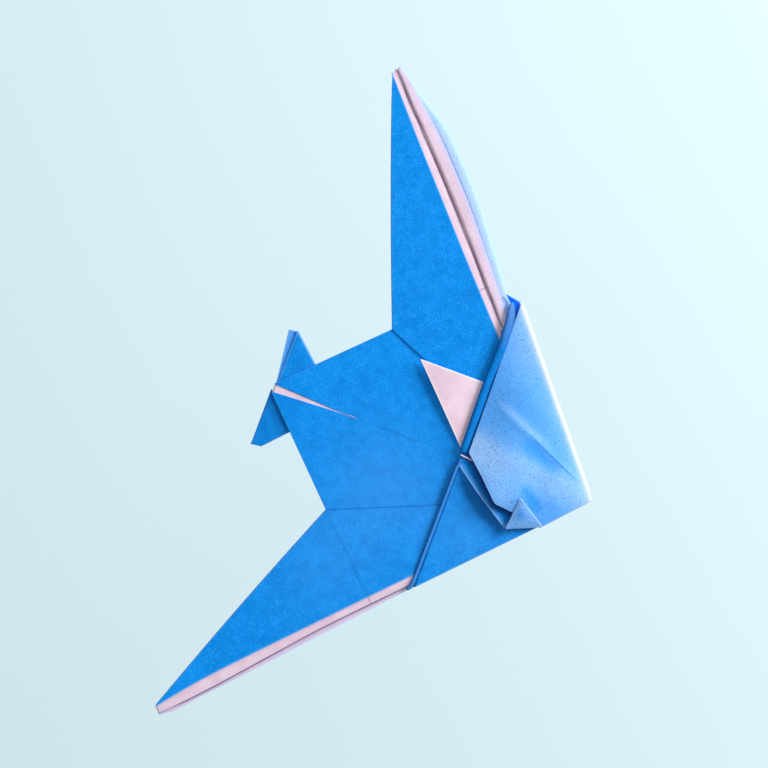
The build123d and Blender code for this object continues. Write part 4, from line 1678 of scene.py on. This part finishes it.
        # Painted shade under the flap's mouth, and painted light along the free edge.
        shade = np.maximum(line_mark(plan_points, (45.6, 1.0), (53.8, -6.5), 1.4),
                           line_mark(plan_points, (54.2, -7.0), (58.8, -7.7), 1.5))
        return Sheet(
            "nose_lower_sheet", with_height(plan_points, thin_plate(self.sheet_pins, plan_points)), BLUE_FOLD,
            wear=0.7 * edge_wear(from_free, 0.3), bleach=0.3 * edge_wear(from_free, 1.2),
            crease=0.95 * shade, replaced=("nose_cover_port",), waviness=0.02)

    def cover(self) -> Sheet:
        """The starboard cover, ruled from the mouth's line to the nose, folded at the leading edge.

        Returns:
            The sheet.
        """
        mouth, length = self.plan.mouth, self.plan.length
        station = np.linspace(0, 1, 100)
        start = mouth + self.cover_tuck
        x = start + (length - self.cover_nose_gap - start) * station
        outer = np.stack([x, -np.interp(x, [mouth, length], [31.0, -0.76])], -1)
        inner = np.stack([x, np.interp(x, [mouth, 50.0, length], [-0.6, 1.5, 0.1])], -1)
        plan_points, _, from_edge, unit = rulings(inner, outer, (0, 0.4), (0, 0.1, 0.25, 0.5, 1.0), 50)
        height = thin_plate(self.cover_pins, plan_points)
        bulge = np.full(len(x), self.cover_bulge)
        fold_rubbed = (0.2, 0.3, 0.35, 0.35, 0.3, 0.2, 0.1, 0, 0, 0)
        fold = fold_round(outer, unit, height[:, -1], np.zeros(len(x)), bulge, len(fold_rubbed) - 1)
        points = beside(with_height(plan_points, height), tucked(fold, unit, self.cover_turn))
        return Sheet(
            "nose_cover_starboard_sheet", points, BLUE_CREASED,
            wear=beside(0.2 * edge_wear(from_edge, 0.3), fold_rubbed),
            bleach=handled(points),
            # Painted shadow of the lower sheet's raised edge on the cover.
            crease=0.45 * line_mark(points[..., :2], (46.5, -5.0), (57.0, -12.2), 1.7),
            replaced=("nose_cover_starboard",), waviness=0.03)

    def hem(self) -> Sheet:
        """The pressed mouth on the starboard side: a low oval ridge along the cover's edge.

        Returns:
            The closed sheet, an oval carried along its path.
        """
        station = np.linspace(0, 1, 90)
        path = track(self.hem_stations, self.hem_path, station)
        half_width = np.interp(station, [0, 0.05, 0.94, 1.0], [0.36, 0.5, 0.5, 0.3])
        half_height = np.interp(station, [0, 0.05, 0.94, 1.0], [0.16, 0.24, 0.22, 0.1])
        angle = np.linspace(0, 2 * math.pi, 20, endpoint=False)
        return Sheet(
            "pocket_hem_fold", tube(path, half_width, half_height, len(angle)), BLUE_OUT, closed=True,
            # Painted highlight along the ridge's top and painted shade down its sides.
            wear=0.22 * np.clip(np.sin(angle), 0, 1) ** 10,
            crease=0.25 + 0.7 * np.abs(np.cos(angle)) ** 1.5,
            replaced=("pocket_hem",), waviness=0.0, thickness=self.rolled_paper)

    def roll(self) -> Sheet:
        """The rolled mouth on the port side: an oval tube that flattens open at its outer end.

        Returns:
            The closed sheet, an oval carried along a smooth path.
        """
        station = np.linspace(0, 1, 120)
        path = np.stack([smooth_curve(list(zip(self.roll_stations, values)), station)
                         for values in zip(*self.roll_path)], -1)
        half_width = np.interp(station, [0, 0.03, 0.78, 0.9, 0.97, 1.0], [0.8, 0.98, 1.05, 1.0, 0.75, 0.3])
        half_height = np.interp(station, [0, 0.03, 0.8, 1.0], [0.42, 0.48, 0.46, 0.12])
        angle = np.linspace(0, 2 * math.pi, 28, endpoint=False)
        return Sheet(
            "pocket_roll_tube", tube(path, half_width, half_height, len(angle)), BLUE_OUT, closed=True,
            # Painted highlight towards the open outer end and painted shade down both sides.
            bleach=0.4 * np.clip((station - 0.7) / 0.3, 0, 1)[:, None],
            crease=0.24 + 0.5 * np.abs(np.cos(angle)) ** 1.5,
            replaced=("pocket_roll",), waviness=0.0, thickness=self.rolled_paper)

    def pocket_wall(self) -> Sheet:
        """The inside of the pocket that shows between the roll and the flap at their outer ends.

        Returns:
            The sheet.
        """
        station = np.linspace(0, 1, 40)
        aft = track([0, 0.14, 0.4, 1], [(40.9, 37.0), (42.9, 35.0), (43.9, 31.0), (44.5, 20.0)], station)
        forward = track([0, 1], [(44.5, 36.4), (46.2, 20.0)], station)
        plan_points, _, _, _ = rulings(aft, forward, (0, 0.1, 0.3), (0, 0.3), 10)
        height = np.interp(station, [0, 0.5, 1], [1.5, 1.4, 1.3])[:, None]
        # Painted shade: the pocket's inside takes the darker copy of the blue face.
        return Sheet(
            "pocket_inner_wall", with_height(plan_points, height), POCKET_OUT,
            wear=0.2 * edge_wear(station * 20, 0.3)[:, None], waviness=0.0)

    def sliver(self) -> Sheet:
        """The narrow plain turn of the lower sheet at the inner end of the roll.

        Returns:
            The sheet.
        """
        x = np.linspace(43.7, 46.6, 16)
        middle = np.interp(x, [43.7, 46.6], [0.45, 0.15])
        starboard, port = (np.stack([x, middle + half], -1) for half in (-self.sliver_half, self.sliver_half))
        plan_points, _, _, _ = rulings(starboard, port, (0, 0.05), (0, 0.05), 3)
        height = np.full(plan_points.shape[:2], self.sliver_height)
        return Sheet(
            "nose_sliver", with_height(plan_points, height), PLAIN_OUT, slot="plain_side", waviness=0.0)

    def build(self) -> None:
        """Makes the nose and hangs the flap and its corner on their joints."""
        row = self.plan.row
        for sheet in (self.lower_sheet(), self.cover(), self.hem(), self.roll(), self.pocket_wall(),
                      self.sliver()):
            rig.ride(sheet.build(self.plan), ROOT)
        flap = self.flap().build(self.plan)
        low, high = (np.array([*self.tip, height]) for height in (0.3, 1.5))
        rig.blend(flap, ROOT, "nose_flap", start=row(low), end=row(high))
        corner = self.corner().build(self.plan)
        base = self.corner_base()
        low, high = (np.array([*self.corner_aft, height]) for height in (base, base + 0.36))
        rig.blend(corner, "nose_flap", "nose_corner", start=row(low), end=row(high))


# ---------------------------------------------------------------- hidden layers, light and camera


def dress_hidden_layers() -> None:
    """Gives the layers that stay hidden inside the fold their paper."""
    for name, node in frame["nodes"].items():
        if node.hide_render:
            continue
        node.data.materials.clear()
        node.data.materials.append(PLAIN_FACE.material(Coordinates.OBJECT))
        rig.slot(node, "plain_side")
        log.info("%s: kept from the frame", name)


@dataclass(frozen=True)
class Softbox:
    """A square area light that looks at the origin: where it stands, how wide and how strong."""

    name: str
    towards: tuple[float, float, float]
    distance: float
    size: float
    power: float

    def build(self) -> None:
        """Hangs the light."""
        lamp = bpy.data.lights.new(self.name, "AREA")
        lamp.size = self.size * MM
        lamp.energy = self.power
        holder = bpy.data.objects.new(self.name, lamp)
        direction = np.array(self.towards) / np.linalg.norm(self.towards)
        holder.location = tuple(direction * self.distance * MM)
        holder.rotation_mode = "QUATERNION"
        holder.rotation_quaternion = (-holder.location).to_track_quat("-Z", "Y")
        bpy.context.scene.collection.objects.link(holder)


@dataclass
class Studio:
    """A pale floor well below the plane, one broad soft key light, a fill and the camera."""

    plan: Plan
    key: Softbox = Softbox("key", towards=(0.62, 0.66, 0.39), distance=1500.0, size=700.0, power=34.5)
    fill: Softbox = Softbox("fill", towards=(-0.25, 0.15, 1.0), distance=1100.0, size=900.0, power=2.8)
    floor_drop: float = 240.0
    floor_size: float = 6000.0
    floor_colour: str = "#DCEFF3"
    floor_roughness: float = 0.9
    sky: str = "#DCEBF6"
    sky_strength: float = 0.3
    camera_height: float = 700.0
    view_width: float = 168.9
    sensor: float = 36.0
    aim: Point = (22.6, 9.2)
    turn: float = 20.2

    def floor(self) -> None:
        """Lays a matt pale board."""
        half = self.floor_size / 2 * MM
        height = -self.floor_drop * MM
        mesh = bpy.data.meshes.new("floor")
        corners = [(x * half, y * half, height) for x, y in ((-1, -1), (1, -1), (1, 1), (-1, 1))]
        mesh.from_pydata(corners, [], [(0, 1, 2, 3)])
        material = bpy.data.materials.new("matt_pale_board")
        material.use_nodes = True
        shader = material.node_tree.nodes["Principled BSDF"]
        shader.inputs["Base Color"].default_value = linear(self.floor_colour)
        shader.inputs["Roughness"].default_value = self.floor_roughness
        mesh.materials.append(material)
        board = bpy.data.objects.new("floor", mesh)
        bpy.context.scene.collection.objects.link(board)
        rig.stage(board)

    def surroundings(self) -> None:
        """Gives the room its faint even light and plain colours."""
        world = bpy.data.worlds.new("studio")
        world.use_nodes = True
        background = world.node_tree.nodes["Background"]
        background.inputs["Color"].default_value = linear(self.sky)
        background.inputs["Strength"].default_value = self.sky_strength
        bpy.context.scene.world = world
        bpy.context.scene.view_settings.view_transform = "Standard"

    def camera(self) -> None:
        """Puts the camera straight above, turned as the plane lies."""
        data = bpy.data.cameras.new("camera")
        data.sensor_width = self.sensor
        data.lens = self.sensor * self.camera_height / self.view_width
        data.clip_end = 10.0
        holder = bpy.data.objects.new("camera", data)
        holder.location = self.plan.row(np.array([*self.aim, self.camera_height]))
        holder.rotation_euler = (0.0, 0.0, math.radians(self.turn))
        bpy.context.scene.collection.objects.link(holder)
        bpy.context.scene.camera = holder

    def build(self) -> None:
        """Sets the scene around the plane."""
        self.floor()
        self.key.build()
        self.fill.build()
        self.surroundings()
        self.camera()


def main() -> None:
    """Builds the plane, its surroundings and the record of its size."""
    logging.basicConfig(level=logging.INFO, format="%(message)s")
    cad_box = [list(corner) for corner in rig.bounds()]
    plan = Plan.read()
    for part in (port_wing(plan), starboard_wing(plan), Body(plan), port_fin(plan), starboard_fin(plan),
                 LockTab(plan), Nose(plan)):
        part.build()
    dress_hidden_layers()
    Studio(plan).build()
    visual_box = [list(corner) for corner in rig.bounds()]
    with open("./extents.json", "w") as record:
        json.dump({"cad": cad_box, "visual": visual_box}, record)


if __name__ == "__main__":
    main()
